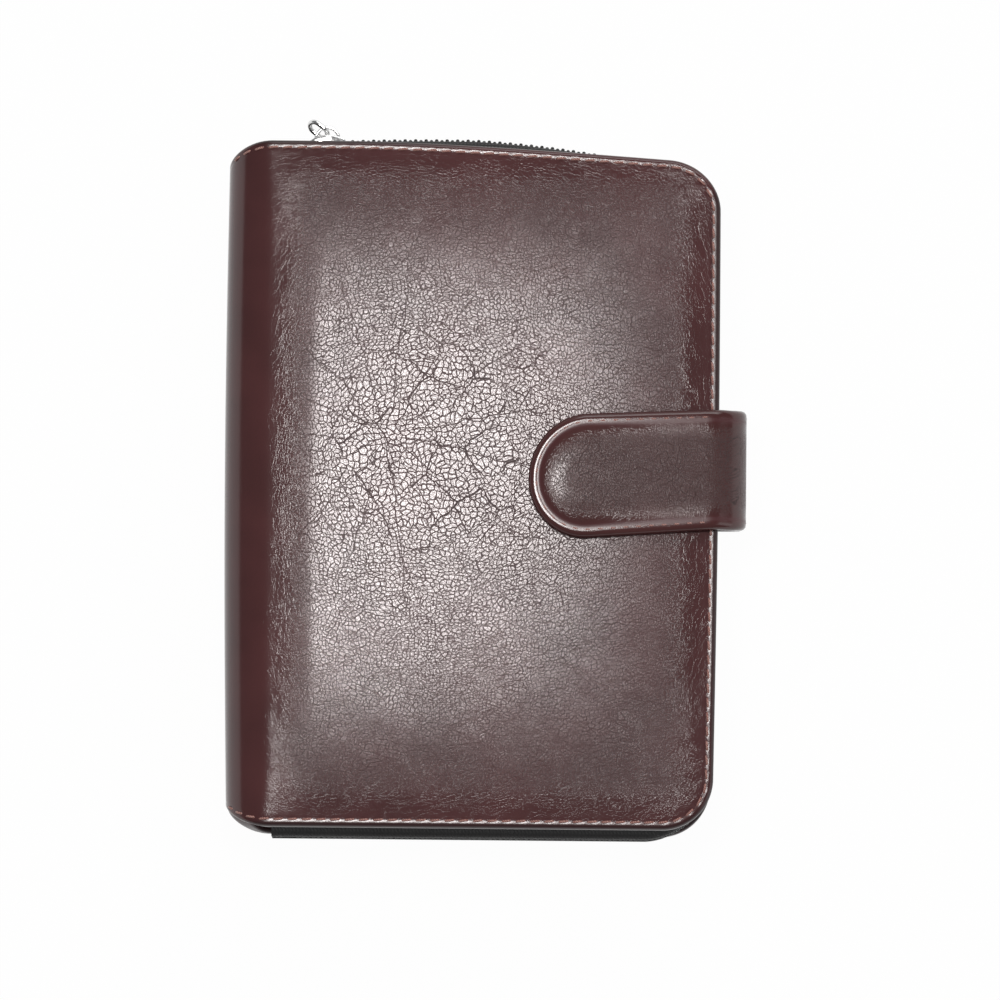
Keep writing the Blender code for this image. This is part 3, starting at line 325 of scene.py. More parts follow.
# Deep red is the darker end of the random tone and also the painted shade in the creases.
DEEP_RED = (0.024, 0.007, 0.007)
COVER_FACE = (0.078, 0.0245, 0.0250)
STRAP_FACE = (0.072, 0.023, 0.022)
POCKET_DEEP = (0.022, 0.008, 0.008)
POCKET_FACE = (0.046, 0.017, 0.017)
COVER_GLOSS = 0.15
POCKET_GLOSS = 0.3
cover_leather = leather_finish("burgundy_leather", DEEP_RED, COVER_FACE, SHADED_EDGE, COVER_GLOSS)
strap_leather = leather_finish(
    "strap_leather", DEEP_RED, STRAP_FACE, SHADED_VALLEY, COVER_GLOSS, STRAP_CELL_SCALE
)
pocket_leather = leather_finish("pocket_leather", POCKET_DEEP, POCKET_FACE, SHADED_EDGE, POCKET_GLOSS)
print("leather", CELL_SCALE, "cells to the metre")

# %% [markdown]
# ## Cloth, thread, metal and paper
#
# The lining is a dull twill, the zip tape a plain weave, and both are two crossed waves. The thread is
# twisted, so a slanting wave runs along it. The chrome has faint streaks in its gloss, and the page blocks
# show the edges of their sheets as fine lines.

# %% Woven finishes
def crossed_waves(tree, place, scale, turn):
    turned = add_node(tree, "Mapping", {"Vector": place, "Rotation": (0.3, 0.2, turn)}).outputs[0]
    sockets = {"Vector": turned, "Scale": scale, "Distortion": 0.6}
    waves = [add_node(tree, "TexWave", sockets, bands_direction=side).outputs["Fac"] for side in "XY"]
    return times(tree, *waves)


def woven_finish(name, deep, face, scale, turn, depth):
    finish, tree, shader = new_finish(name, Roughness=0.82, Specular_IOR_Level=0.25, Sheen_Weight=0.15)
    place = object_place(tree)
    weave = crossed_waves(tree, place, scale, turn)
    clouds = noise(tree, place, 60.0, 3.0)
    share = times(tree, plus(tree, weave, clouds), 0.6)
    connect(tree, shader, Base_Color=colour_between(tree, share, deep, face))
    add_bump(tree, shader, weave, depth)
    return finish


LINING_DEEP = (0.012, 0.007, 0.007)
LINING_FACE = (0.045, 0.028, 0.027)
TAPE_DEEP = (0.006, 0.006, 0.006)
TAPE_FACE = (0.030, 0.028, 0.028)
lining_cloth = woven_finish("dark_lining", LINING_DEEP, LINING_FACE, 420.0, 0.78, 0.08 * MM)
zip_cloth = woven_finish("charcoal_tape", TAPE_DEEP, TAPE_FACE, 330.0, 0.0, 0.12 * MM)
print("weaves", lining_cloth.name, zip_cloth.name)

# %% Thread, metal and plastic finishes
def thread_finish(name, deep, face):
    finish, tree, shader = new_finish(name, Specular_IOR_Level=0.6, Roughness=0.36, Sheen_Weight=0.1)
    place = object_place(tree)
    sockets = {"Vector": place, "Scale": 900.0, "Distortion": 1.0}
    twist = add_node(tree, "TexWave", sockets, bands_direction="DIAGONAL")
    connect(tree, shader, Base_Color=colour_between(tree, twist.outputs["Fac"], deep, face))
    add_bump(tree, shader, twist.outputs["Fac"], 0.08 * MM)
    return finish


def chrome_finish(name):
    finish, tree, shader = new_finish(name, Metallic=1.0)
    place = object_place(tree)
    stretched = add_node(tree, "Mapping", {"Vector": place, "Scale": (1, 6, 6)}).outputs[0]
    streaks = noise(tree, stretched, 700.0, 4.0)
    clouds = noise(tree, place, 120.0, 2.0)
    colour = colour_between(tree, clouds, (0.72, 0.72, 0.72), (0.90, 0.90, 0.89))
    rough = ramp_between(tree, streaks, 0.3, 0.75, 0.16, 0.32)
    connect(tree, shader, Base_Color=colour, Roughness=rough)
    add_bump(tree, shader, streaks, 0.01 * MM)
    return finish


def teeth_finish(name):
    finish, tree, shader = new_finish(name, Specular_IOR_Level=0.6)
    place = object_place(tree)
    specks = noise(tree, place, 900.0, 3.0)
    connect(
        tree,
        shader,
        Base_Color=colour_between(tree, specks, (0.006, 0.006, 0.006), (0.034, 0.030, 0.029)),
        Roughness=ramp_between(tree, specks, 0.3, 0.7, 0.16, 0.3),
    )
    add_bump(tree, shader, specks, 0.03 * MM)
    return finish


seam_thread = thread_finish("russet_thread", (0.16, 0.055, 0.045), (0.46, 0.24, 0.20))
bright_chrome = chrome_finish("bright_chrome")
black_teeth = teeth_finish("black_teeth")
print("metal and thread", bright_chrome.name, seam_thread.name)

# %% Paper and card finishes
PAGE_LINES = 5000.0
RULE_PITCH = 6 * MM


def paper_finish(name, deep, face, lined):
    finish, tree, shader = new_finish(name, Roughness=0.85, Specular_IOR_Level=0.3)
    place = object_place(tree)
    parts = add_node(tree, "SeparateXYZ", {"Vector": place})
    wobble = noise(tree, place, 50.0, 2.0)
    level = times(tree, parts.outputs["Z"], PAGE_LINES)
    level = plus(tree, level, times(tree, wobble, 1.5))
    sheets = math_step(tree, "PINGPONG", level, 1.0)
    facing = add_node(tree, "SeparateXYZ", {"Vector": add_node(tree, "NewGeometry", {}).outputs["Normal"]})
    flat = math_step(tree, "GREATER_THAN", math_step(tree, "ABSOLUTE", facing.outputs["Z"], 0.0), 0.7)
    edge = colour_between(tree, sheets, deep, face)
    fibres = noise(tree, place, 1500.0, 3.0)
    sheet = colour_between(tree, times(tree, fibres, 0.3), face, deep)
    if lined:
        row = math_step(tree, "PINGPONG", parts.outputs["Y"], RULE_PITCH / 2)
        rule = math_step(tree, "LESS_THAN", row, 0.11 * MM)
        sheet = colour_between(tree, times(tree, rule, 0.55), sheet, (0.36, 0.42, 0.48))
    connect(tree, shader, Base_Color=colour_between(tree, flat, edge, sheet))
    add_bump(tree, shader, fibres, 0.02 * MM)
    return finish


page_paper = paper_finish("cream_paper", (0.62, 0.57, 0.46), (0.86, 0.83, 0.74), True)
divider_card = paper_finish("divider_card", (0.40, 0.33, 0.23), (0.62, 0.54, 0.42), False)
grey_card = paper_finish("grey_card", (0.28, 0.26, 0.22), (0.44, 0.41, 0.36), False)
print("paper rules", RULE_PITCH)

# %% [markdown]
# ## Helpers for pieces
#
# New pieces start as a primitive of the right make-up and are shaped from there. Everything is deselected
# first, because an operator acts on all that is selected. A piece is finished with modifiers that are
# applied at once, so the mesh itself holds the shape that is seen.

# %% Piece helpers
SOFT_ANGLE = 60
HARD_ANGLE = 40


def deselect_all():
    if bpy.context.object and bpy.context.object.mode != "OBJECT":
        bpy.ops.object.mode_set(mode="OBJECT")
    bpy.ops.object.select_all(action="DESELECT")


def pick(piece):
    deselect_all()
    piece.select_set(True)
    bpy.context.view_layer.objects.active = piece


def apply_modifier(piece, kind, **settings):
    pick(piece)
    modifier = piece.modifiers.new(kind.lower(), kind)
    for name, value in settings.items():
        setattr(modifier, name, value)
    bpy.ops.object.modifier_apply(modifier=modifier.name)


def dress(piece, finish, slot, *replaced):
    piece.data.materials.clear()
    piece.data.materials.append(finish)
    if replaced:
        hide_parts(*replaced)


def smooth(piece, angle=SOFT_ANGLE):
    pick(piece)
    bpy.ops.object.shade_smooth_by_angle(angle=math.radians(angle))


print("piece helpers ready")

# %% Grids, shares and arcs
def grid_piece(name, columns, rows, place):
    deselect_all()
    bpy.ops.mesh.primitive_grid_add(x_subdivisions=len(columns) - 1, y_subdivisions=len(rows) - 1, size=2)
    piece = bpy.context.object
    piece.name = name
    piece.data.name = name
    for point in piece.data.vertices:
        column = round((point.co.x + 1) / 2 * (len(columns) - 1))
        row = round((point.co.y + 1) / 2 * (len(rows) - 1))
        point.co = place(columns[column], rows[row])
    piece.data.update()
    return piece


def edit_all():
    bpy.ops.object.mode_set(mode="EDIT")
    bpy.ops.mesh.select_all(action="SELECT")


def turn_faces(piece):
    pick(piece)
    edit_all()
    bpy.ops.mesh.flip_normals()
    bpy.ops.object.mode_set(mode="OBJECT")


def paint(piece, attribute, amount):
    layer = piece.data.attributes.new(attribute, "FLOAT", "POINT")
    for index, point in enumerate(piece.data.vertices):
        layer.data[index].value = amount(point.co)


def spread(start, end, step):
    count = max(1, round((end - start) / step))
    return [start + (end - start) * index / count for index in range(count)]


def share_between(value, low, high):
    return min(max((value - low) / (high - low), 0), 1)


def eased(share):
    return share * share * (3 - 2 * share)


def bell(value, middle, width):
    return math.exp(-(((value - middle) / width) ** 2))


def arc_points(middle, radius, first, last, steps):
    """Places on an arc between two angles in degrees, each with its outward direction."""
    points = []
    for step in range(steps + 1):
        angle = math.radians(first + (last - first) * step / steps)
        out = Vector((math.cos(angle), math.sin(angle)))
        points.append((middle + out * radius, out))
    return points


print("grid helpers ready")

# %% [markdown]
# ## How a flat sheet becomes a cover
#
# A case maker cuts the cover flat, turns its edge over the board and wraps it round the spine. The script
# does the same with a flat place (x, y): near the edge the sheet rolls over the rim and turns under, at the
# corners the square grid is drawn into a quarter disc, and left of the bend it is wrapped round the spine.
# At last the whole case settles a little, as the used one has: its top edge falls towards the fore corner.

# %% Wrapping and settling
RIM_ROUND = 1.25 * MM
TURN_ROUND = 0.9 * MM
TURN_RUN = 1.6 * MM
FRONT_CROWN = 2.0 * MM
SPINE_SCOOP = 7 * MM
TOP_FALL = 0.085
FALL_FROM = -35 * MM
FALL_START = 60 * MM
SPINE_BULGE = 1.0 * MM
FORE_BULGE = 0.5 * MM
TOP_SPREAD = 0.008


def turned_reach(round_over, deep):
    """How much sheet a rim takes past the edge: over the top, down the wall and under."""
    wall = deep - round_over - TURN_ROUND
    return (round_over + TURN_ROUND) * math.pi / 2 + wall + TURN_RUN - round_over


RIM_REACH = turned_reach(RIM_ROUND, WALL)


def drawn_in(y, past_bend):
    share = (1 - math.cos(math.pi * past_bend / HALF_SPINE)) / 2
    return y * (1 - SPINE_SCOOP * share / Y_TOP)


def wrapped(x, y, depth):
    past = X_BEND - x
    if past <= 0:
        return Vector((x, y, THICKNESS - depth))
    y = drawn_in(y, past)
    if past > BEND_ARC:
        return Vector((X_SPINE + depth, y, THICKNESS - BEND_RADIUS - (past - BEND_ARC)))
    angle = past / BEND_RADIUS
    radius = BEND_RADIUS - depth
    return Vector((X_BEND - radius * math.sin(angle), y, THICKNESS - BEND_RADIUS + radius * math.cos(angle)))


def settled(point):
    """The used case: its top falls to the right, its spine and fore edge swell, its top is a little wider."""
    right = max(point.x - FALL_FROM, 0)
    fall = TOP_FALL * right * right / (right + FALL_START)
    share = share_between(point.y, 0, Y_TOP)
    middle = math.cos(min(abs(point.y) / Y_TOP, 1) * math.pi / 2)
    swell = FORE_BULGE * max(point.x / X_FORE, 0) ** 2 - SPINE_BULGE * max(point.x / X_SPINE, 0) ** 4
    x = point.x * (1 + TOP_SPREAD * point.y / Y_TOP) + swell * middle
    return Vector((x, point.y - fall * share, point.z))


def other_side(point):
    return Vector((point.x, point.y, THICKNESS - point.z))


print("half of the spine takes", HALF_SPINE)

# %% Rims and corners
def rim_fold(inset, round_over, deep):
    if inset >= round_over:
        return inset, 0
    past = round_over - inset
    quarter = round_over * math.pi / 2
    if past <= quarter:
        angle = past / round_over
        return round_over * (1 - math.sin(angle)), round_over * (1 - math.cos(angle))
    past -= quarter
    wall = deep - round_over - TURN_ROUND
    if past <= wall:
        return 0, round_over + past
    past -= wall
    quarter = TURN_ROUND * math.pi / 2
    if past <= quarter:
        angle = past / TURN_ROUND
        return TURN_ROUND * (1 - math.cos(angle)), deep - TURN_ROUND * (1 - math.sin(angle))
    return TURN_ROUND + past - quarter, deep


def edge_place(x, y, edge_x, edge_y, radius, fold):
    """Place on a sheet with two rounded corners: x, y, distance from the edge, depth of the fold."""
    side = 1 if y >= 0 else -1
    across = x - (edge_x - radius)
    up = abs(y) - (edge_y - radius)
    if across > 0 and up > 0:
        reach = max(across, up)
        quarter = math.pi / 4
        angle = quarter * up / across if across >= up else 2 * quarter - quarter * across / up
        inset, depth = fold(radius - reach)
        kept = radius - inset
        place_x = edge_x - radius + kept * math.cos(angle)
        return place_x, side * (edge_y - radius + kept * math.sin(angle)), radius - reach, depth
    if across > 0:
        inset, depth = fold(edge_x - x)
        return edge_x - inset, y, edge_x - x, depth
    if up > 0:
        inset, depth = fold(edge_y - abs(y))
        return x, side * (edge_y - inset), edge_y - abs(y), depth
    return x, y, min(edge_x - x, edge_y - abs(y)), 0


def cover_fold(inset):
    return rim_fold(inset, RIM_ROUND, WALL)


print("rim takes", RIM_REACH, "of sheet past the edge")

# %% Seams
STITCH_INSET = 2.0 * MM
STITCH_GROOVE = 0.12 * MM
GROOVE_WIDTH = 0.6 * MM
STITCH_PITCH = 3.95 * MM
DIP_MEAN = 0.55
DIP_SWING = 0.45
SEAM_PAST_BEND = 15 * MM


def seam_run(x, y):
    """Length along the seam, from its start below the spine to the flat place's own spot."""
    radius = CORNER_RADIUS - STITCH_INSET
    straight = CORNER_X - X_BEND + SEAM_PAST_BEND
    quarter = radius * math.pi / 2
    if y < -CORNER_Y and x <= CORNER_X:
        return x - X_BEND + SEAM_PAST_BEND
    if y < -CORNER_Y:
        return straight + radius * math.atan2(x - CORNER_X, -CORNER_Y - y)
    if y <= CORNER_Y:
        return straight + quarter + y + CORNER_Y
    if x > CORNER_X:
        return straight + quarter + 2 * CORNER_Y + radius * math.atan2(y - CORNER_Y, x - CORNER_X)
    return straight + 2 * quarter + 2 * CORNER_Y + CORNER_X - x


def stitch_dip(x, y, inset):
    """A shallow channel that each stitch pulls deeper between its two holes."""
    pull = DIP_MEAN - DIP_SWING * math.cos(2 * math.pi * seam_run(x, y) / STITCH_PITCH)
    return STITCH_GROOVE * pull * bell(inset, STITCH_INSET, GROOVE_WIDTH)


def back_place(x, y, lift=0):
    flat_x, flat_y, inset, depth = edge_place(x, y, X_FORE, Y_TOP, CORNER_RADIUS, cover_fold)
    depth += stitch_dip(flat_x, flat_y, inset) - lift
    return settled(other_side(wrapped(flat_x, flat_y, depth)))


print("a stitch every", STITCH_PITCH)

# %% [markdown]
# ## Padding
#
# Under the front leather lies a foam pad, so the cover swells between its seams. A cloth simulation finds
# that shape: a coarse sheet is held along its seams and far round the spine, and a pressure pushes it up.
# The foam itself ends at the spine, so there the rise rolls off. A smooth curve through the coarse heights
# then lifts the fine skin.

# %% Swell the padding
PAD_STEP = 8 * MM
PAD_EDGE = 2.6 * MM
PAD_ROUND_SPINE = 40 * MM
PAD_ROLL_START = X_BEND - 7.5 * MM
PAD_ROLL = 22 * MM
PAD_FLATNESS = 2.4
PAD_PRESSURE = 4.0
PAD_FRAMES = 20
HELD_BAND = 0.1 * MM
PAD_LEFT = X_BEND - PAD_ROUND_SPINE
PAD_RIGHT = X_FORE - PAD_EDGE
PAD_TOP = Y_TOP - PAD_EDGE
pad_columns = spread(PAD_LEFT, PAD_RIGHT, PAD_STEP) + [PAD_RIGHT]
pad_rows = spread(-PAD_TOP, PAD_TOP, PAD_STEP) + [PAD_TOP]


def swollen_sheet():
    """Heights of the simulated sheet, as rows in columns."""
    sheet = grid_piece("padding_sheet", pad_columns, pad_rows, lambda x, y: Vector((x, y, 0)))
    spots = [(point.co.x, point.co.y) for point in sheet.data.vertices]
    held = sheet.vertex_groups.new(name="seams")
    for index, (x, y) in enumerate(spots):
        if min(x - PAD_LEFT, PAD_RIGHT - x, PAD_TOP - abs(y)) < HELD_BAND:
            held.add([index], 1.0, "REPLACE")
    cloth = sheet.modifiers.new("padding", "CLOTH")
    cloth.settings.vertex_group_mass = held.name
    cloth.settings.use_pressure = True
    cloth.settings.uniform_pressure_force = PAD_PRESSURE
    cloth.settings.effector_weights.gravity = 0
    for step in range(1, PAD_FRAMES + 1):
        bpy.context.scene.frame_set(step)
    pick(sheet)
    bpy.ops.object.modifier_apply(modifier=cloth.name)
    rises = {}
    for (x, y), point in zip(spots, sheet.data.vertices):
        column = round((x - PAD_LEFT) / (PAD_RIGHT - PAD_LEFT) * (len(pad_columns) - 1))
        row = round((y + PAD_TOP) / (2 * PAD_TOP) * (len(pad_rows) - 1))
        rises[column, row] = point.co.z
    bpy.data.objects.remove(sheet)
    bpy.context.scene.frame_set(1)
    return [[rises[column, row] for row in range(len(pad_rows))] for column in range(len(pad_columns))]


pad_heights = swollen_sheet()
pad_peak = max(max(column) for column in pad_heights)
print("padding rose by", pad_peak)

# %% Lift the skin with the padding
def curve_through(values, at):
    """The value at a place between evenly spaced values, on a smooth curve through them."""
    first = min(max(int(at), 0), len(values) - 2)
    share = at - first
    before, low, high, after = (values[min(max(first + step, 0), len(values) - 1)] for step in (-1, 0, 1, 2))
    bend = 3 * (low - high) + after - before
    swing = 2 * before - 5 * low + 4 * high - after
    return low + share / 2 * (high - before + share * (swing + share * bend))


def crown_rise(x, y):
    if not (PAD_LEFT < x < PAD_RIGHT and abs(y) < PAD_TOP):
        return 0
    column = (x - PAD_LEFT) / (PAD_RIGHT - PAD_LEFT) * (len(pad_columns) - 1)
    row = (y + PAD_TOP) / (2 * PAD_TOP) * (len(pad_rows) - 1)
    rise = curve_through([curve_through(heights, row) for heights in pad_heights], column)
    roll = share_between(x, PAD_ROLL_START, PAD_ROLL_START + PAD_ROLL)
    full = 1 - (1 - min(rise / pad_peak, 1)) ** PAD_FLATNESS
    return FRONT_CROWN * full * eased(roll)


def front_place(x, y, lift=0):
    flat_x, flat_y, inset, depth = edge_place(x, y, X_FORE, Y_TOP, CORNER_RADIUS, cover_fold)
    depth += stitch_dip(flat_x, flat_y, inset) - crown_rise(flat_x, flat_y) - lift
    return settled(wrapped(flat_x, flat_y, depth))


print("crown in the middle", crown_rise(0, 0))

# %% [markdown]
# ## Front and back skins
#
# Each skin is one grid, fine at the rim and coarser in the middle, from the fore edge round to the middle
# of the spine. The solids end at the joint, but real leather bends there, so the skin runs on as one sheet
# over the spine's bend, and no gap shows.

# %% Skins
RIM_STEP = 0.45 * MM
SKIN_STEP = 1.15 * MM
BEND_STEP = 1.3 * MM
RIM_BAND = 5 * MM
SKIN_SHEET = 0.7 * MM
GRAIN_START = 1 * MM
GRAIN_FULL = 15 * MM
GRAIN_LEAST = 0.12
SPINE_SMOOTH = 10 * MM
RIM_SHADE_START = 0.63 * MM
RIM_SHADE_END = 2.03 * MM

skin_rows = spread(-Y_TOP - RIM_REACH, -Y_TOP + RIM_BAND, RIM_STEP)
skin_rows += spread(-Y_TOP + RIM_BAND, Y_TOP - RIM_BAND, SKIN_STEP)
skin_rows += spread(Y_TOP - RIM_BAND, Y_TOP + RIM_REACH, RIM_STEP) + [Y_TOP + RIM_REACH]
skin_columns = spread(X_BEND - HALF_SPINE, X_BEND, BEND_STEP)
skin_columns += spread(X_BEND, X_FORE - RIM_BAND, SKIN_STEP)
skin_columns += spread(X_FORE - RIM_BAND, X_FORE + RIM_REACH, RIM_STEP) + [X_FORE + RIM_REACH]


def edge_distance(point):
    across = point.x - CORNER_X
    up = abs(point.y) - CORNER_Y
    if across > 0 and up > 0:
        return CORNER_RADIUS - math.hypot(across, up)
    return min(X_FORE - point.x, Y_TOP - abs(point.y))


def cover_grain(point):
    share = share_between(edge_distance(point), GRAIN_START, GRAIN_FULL)
    spine = share_between(point.x, X_BEND, X_BEND + SPINE_SMOOTH)
    return GRAIN_LEAST + (1 - GRAIN_LEAST) * eased(share) * spine


# Painted shade on the covers' outer rim and wall: full at the edge, gone about 2 mm in.
def cover_rim_shade(point):
    return 1 - share_between(edge_distance(point), RIM_SHADE_START, RIM_SHADE_END)


def make_skin(name, place, side):
    skin = grid_piece(name, skin_columns, skin_rows, place)
    if side == "back":
        turn_faces(skin)
    paint(skin, "grain", cover_grain)
    paint(skin, "painted_shade", cover_rim_shade)
    apply_modifier(skin, "SOLIDIFY", thickness=SKIN_SHEET, offset=-1.0)
    smooth(skin)
    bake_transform(skin)
    return skin


front_skin = make_skin("front_skin", front_place, "front")
back_skin = make_skin("back_skin", back_place, "back")
dress(front_skin, cover_leather, "leather", "front_leather", "front_foam", "spine_leather")
dress(back_skin, cover_leather, "leather", "back_leather", "back_foam")
print("skins", len(front_skin.data.polygons), len(back_skin.data.polygons))

# %% [markdown]
# ## Stitches
#
# A stitch is a short arch of thread whose ends dive into the leather. It is drawn once as a curve with a
# round section and made a mesh. The copies are then set along the seam, each turned to the seam's own
# direction and leaning a little, as saddle stitches do.

# %% Model one stitch
STITCH_LENGTH = 2.5 * MM
THREAD = 0.62 * MM
STITCH_LEAN = 0.05
ARCH_FOOT = 0.45
ARCH_INNER = (0.36, 0.75)
ARCH_OUTER = (0.56, -1.4)


def model_stitch(length, thread):
    deselect_all()
    bpy.ops.curve.primitive_bezier_curve_add()
    arch = bpy.context.object
    arch.data.dimensions = "3D"
    arch.data.bevel_depth = thread / 2
    arch.data.bevel_resolution = 1
    arch.data.resolution_u = 6
    arch.data.use_fill_caps = True
    ends = arch.data.splines[0].bezier_points
    for point, side in ((ends[0], -1), (ends[1], 1)):
        point.handle_left_type = "FREE"
        point.handle_right_type = "FREE"
        point.co = (side * length / 2, 0, -thread * ARCH_FOOT)
        handles = (ARCH_INNER, ARCH_OUTER)
        inner, outer = (Vector((side * length * run, 0, thread * rise)) for run, rise in handles)
        point.handle_left = outer if side < 0 else inner
        point.handle_right = inner if side < 0 else outer
    bpy.ops.object.convert(target="MESH")
    stitch = bpy.context.object
    mesh = stitch.data.copy()
    bpy.data.objects.remove(stitch)
    return mesh


def set_copies(name, mesh, frames):
    points = []
    faces = []
    for place in frames:
        first = len(points)
        points += [place @ point.co for point in mesh.vertices]
        faces += [[first + index for index in face.vertices] for face in mesh.polygons]
    joined = bpy.data.meshes.new(name)
    joined.from_pydata(points, [], faces)
    piece = bpy.data.objects.new(name, joined)
    bpy.context.scene.collection.objects.link(piece)
    return piece


def seam_frame(start, end, above):
    along = (end - start).normalized()
    across = above.cross(along).normalized()
    up = along.cross(across)
    middle = (start + end) / 2
    frame_rows = Matrix((along, across, up)).transposed().to_4x4()
    frame_rows.translation = middle
    return frame_rows


stitch_mesh = model_stitch(STITCH_LENGTH, THREAD)
print("one stitch has", len(stitch_mesh.polygons), "faces")

# %% Sew both covers
def walk(path, pitch, length):
    """Pairs of flat places along a path, one pair for each stitch."""
    steps = [0.0]
    for first, second in zip(path, path[1:]):
        steps.append(steps[-1] + (second - first).length)
    pairs = []
    at = pitch / 2
    while at + length / 2 < steps[-1]:
        ends = []
        for wanted in (at - length / 2, at + length / 2):
            index = max(i for i in range(len(steps) - 1) if steps[i] <= max(wanted, 0))
            share = (wanted - steps[index]) / (steps[index + 1] - steps[index])
            ends.append(path[index].lerp(path[index + 1], share))
        pairs.append(ends)
        at += pitch
    return pairs


def seam_path(inset):
    radius = CORNER_RADIUS - inset
    path = [Vector((X_BEND - SEAM_PAST_BEND, -Y_TOP + inset))]
    for side, first in ((-1, -90), (1, 0)):
        corner = Vector((CORNER_X, side * CORNER_Y))
        path += [place for place, out in arc_points(corner, radius, first, first + 90, 12)]
    path.append(Vector((X_BEND - SEAM_PAST_BEND, Y_TOP - inset)))
    return path


def square_place(across, up):
    """The place in a square corner that edge_place draws to this place in the quarter disc."""
    reach = math.hypot(across, up)
    angle = math.atan2(up, across) / (math.pi / 4)
    return (reach, reach * angle) if angle <= 1 else (reach * (2 - angle), reach)


def place_on_edge(place, point, lift):
    """Edge places are true already, so the corner mapping is undone before the sheet is wrapped."""
    across = point.x - CORNER_X
    up = abs(point.y) - CORNER_Y
    side = 1 if point.y >= 0 else -1
    if across <= 0 or up <= 0:
        return place(point.x, point.y, lift)
    across, up = square_place(across, up)
    return place(CORNER_X + across, side * (CORNER_Y + up), lift)


def sew(name, place):
    frames = []
    for start, end in walk(seam_path(STITCH_INSET), STITCH_PITCH, STITCH_LENGTH):
        lean = Vector((start.y - end.y, end.x - start.x)) * STITCH_LEAN
        low = place_on_edge(place, start - lean, 0)
        high = place_on_edge(place, end + lean, 0)
        middle = (start + end) / 2
        above = place_on_edge(place, middle, MM) - place_on_edge(place, middle, 0)
        frames.append(seam_frame(low, high, above))
    piece = set_copies(name, stitch_mesh, frames)
    smooth(piece)
    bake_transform(piece)
    dress(piece, seam_thread, "leather")
    return len(frames)


print("front stitches", sew("front_stitches", front_place))
print("back stitches", sew("back_stitches", back_place))

# %% [markdown]
# ## The strap
#
# The strap is two layers sewn together: leather outside with a padded middle, lining inside. It leaves the
# back cover's seam, runs up the fore edge, bends over and laps on the front. Its flat shape has a round tip,
# so the same rolled edge is used, with a corner radius of half its width. One sheet runs over the bend.

# %% Strap path
STRAP_WIDTH = 32 * MM
STRAP_LAP = 51.3 * MM
STRAP_STANDOFF = 5 * MM
STRAP_BEND = 8 * MM
STRAP_RISE = 4.3 * MM
STRAP_SLANT = 0.06
STRAP_FLARE = 0.05
STRAP_CROWN_RUN = 60 * MM
STRAP_CLEAR = 0.5 * MM
STRAP_ROOT_RUN = 0.5 * MM
STRAP_ROOT_SHIFT = 3.2 * MM
STRAP_LINING = 0.6 * MM
STRAP_TOTAL = 2.7 * MM
BACK_LEATHER = 1.2 * MM
STRAP_STEP = 0.9 * MM
STRAP_SIDE_STEP = 2 * MM


def plain_crown(inset):
    return FRONT_CROWN * (1 - (1 - min(inset / STRAP_CROWN_RUN, 1)) ** 2)


def strap_line():
    """The strap's inner face from tip to root: places in X and Z with their outward direction."""
    tip = X_FORE - STRAP_LAP
    lap_end = X_FORE + STRAP_STANDOFF - STRAP_BEND
    top = THICKNESS + plain_crown(X_FORE - lap_end) + STRAP_CLEAR
    line = []
    for x in spread(tip, lap_end, STRAP_STEP):
        line.append((Vector((x, THICKNESS + plain_crown(X_FORE - x) + STRAP_CLEAR)), Vector((0, 1))))
    line += arc_points(Vector((lap_end, top - STRAP_BEND)), STRAP_BEND, 90, 0, 24)
    root_bend = STRAP_STANDOFF - CASE_FIT - STRAP_ROOT_RUN
    middle = Vector((X_FORE + CASE_FIT + STRAP_ROOT_RUN, BACK_LEATHER + STRAP_TOTAL + root_bend))
    for z in spread(top - STRAP_BEND, middle.y, -STRAP_SIDE_STEP)[1:]:
        line.append((Vector((X_FORE + STRAP_STANDOFF, z)), Vector((1, 0))))
    line += arc_points(middle, root_bend, 0, -90, 16)
    line.append((Vector((X_FORE + CASE_FIT, BACK_LEATHER + STRAP_TOTAL)), Vector((0, -1))))
    return line


strap_places = strap_line()
strap_steps = [0.0]
for (first, _), (second, _) in zip(strap_places, strap_places[1:]):
    strap_steps.append(strap_steps[-1] + (second - first).length)
STRAP_LENGTH = strap_steps[-1]
print("strap length", STRAP_LENGTH)

# %% Strap leather and lining
STRAP_RIM = 0.9 * MM
STRAP_STITCH = 1.5 * MM
STRAP_VALLEY = 0.14 * MM
VALLEY_INSET = 2.3 * MM
VALLEY_WIDTH = 1.2 * MM
STRAP_PAD = 1.5 * MM
PAD_TAPER = 56 * MM
STRAP_PAD_START = 2.2 * MM
PAD_RUN = 8.5 * MM
STRAP_FINE_STEP = 0.5 * MM
STRAP_SHEET = 0.6 * MM
STRAP_REACH = turned_reach(STRAP_RIM, STRAP_TOTAL)
half_width = STRAP_WIDTH / 2
side_reach = half_width + STRAP_REACH


def on_strap(along, across, height):
    along = min(max(along, 0), STRAP_LENGTH)
    index = max(i for i in range(len(strap_steps) - 1) if strap_steps[i] <= along)
    share = (along - strap_steps[index]) / (strap_steps[index + 1] - strap_steps[index])
    place = strap_places[index][0].lerp(strap_places[index + 1][0], share)
    out = strap_places[index][1].lerp(strap_places[index + 1][1], share).normalized()
    spot = place + out * height
    down = 1 - share_between(spot.y, 0, THICKNESS)
    lap = min(spot.x - X_FORE, 0)
    centre = STRAP_RISE + STRAP_SLANT * lap + STRAP_ROOT_SHIFT * down
    return Vector((spot.x, centre + across * (1 - STRAP_FLARE * lap / STRAP_LAP), spot.y))


def strap_fold(inset):
    return rim_fold(inset, STRAP_RIM, STRAP_TOTAL)


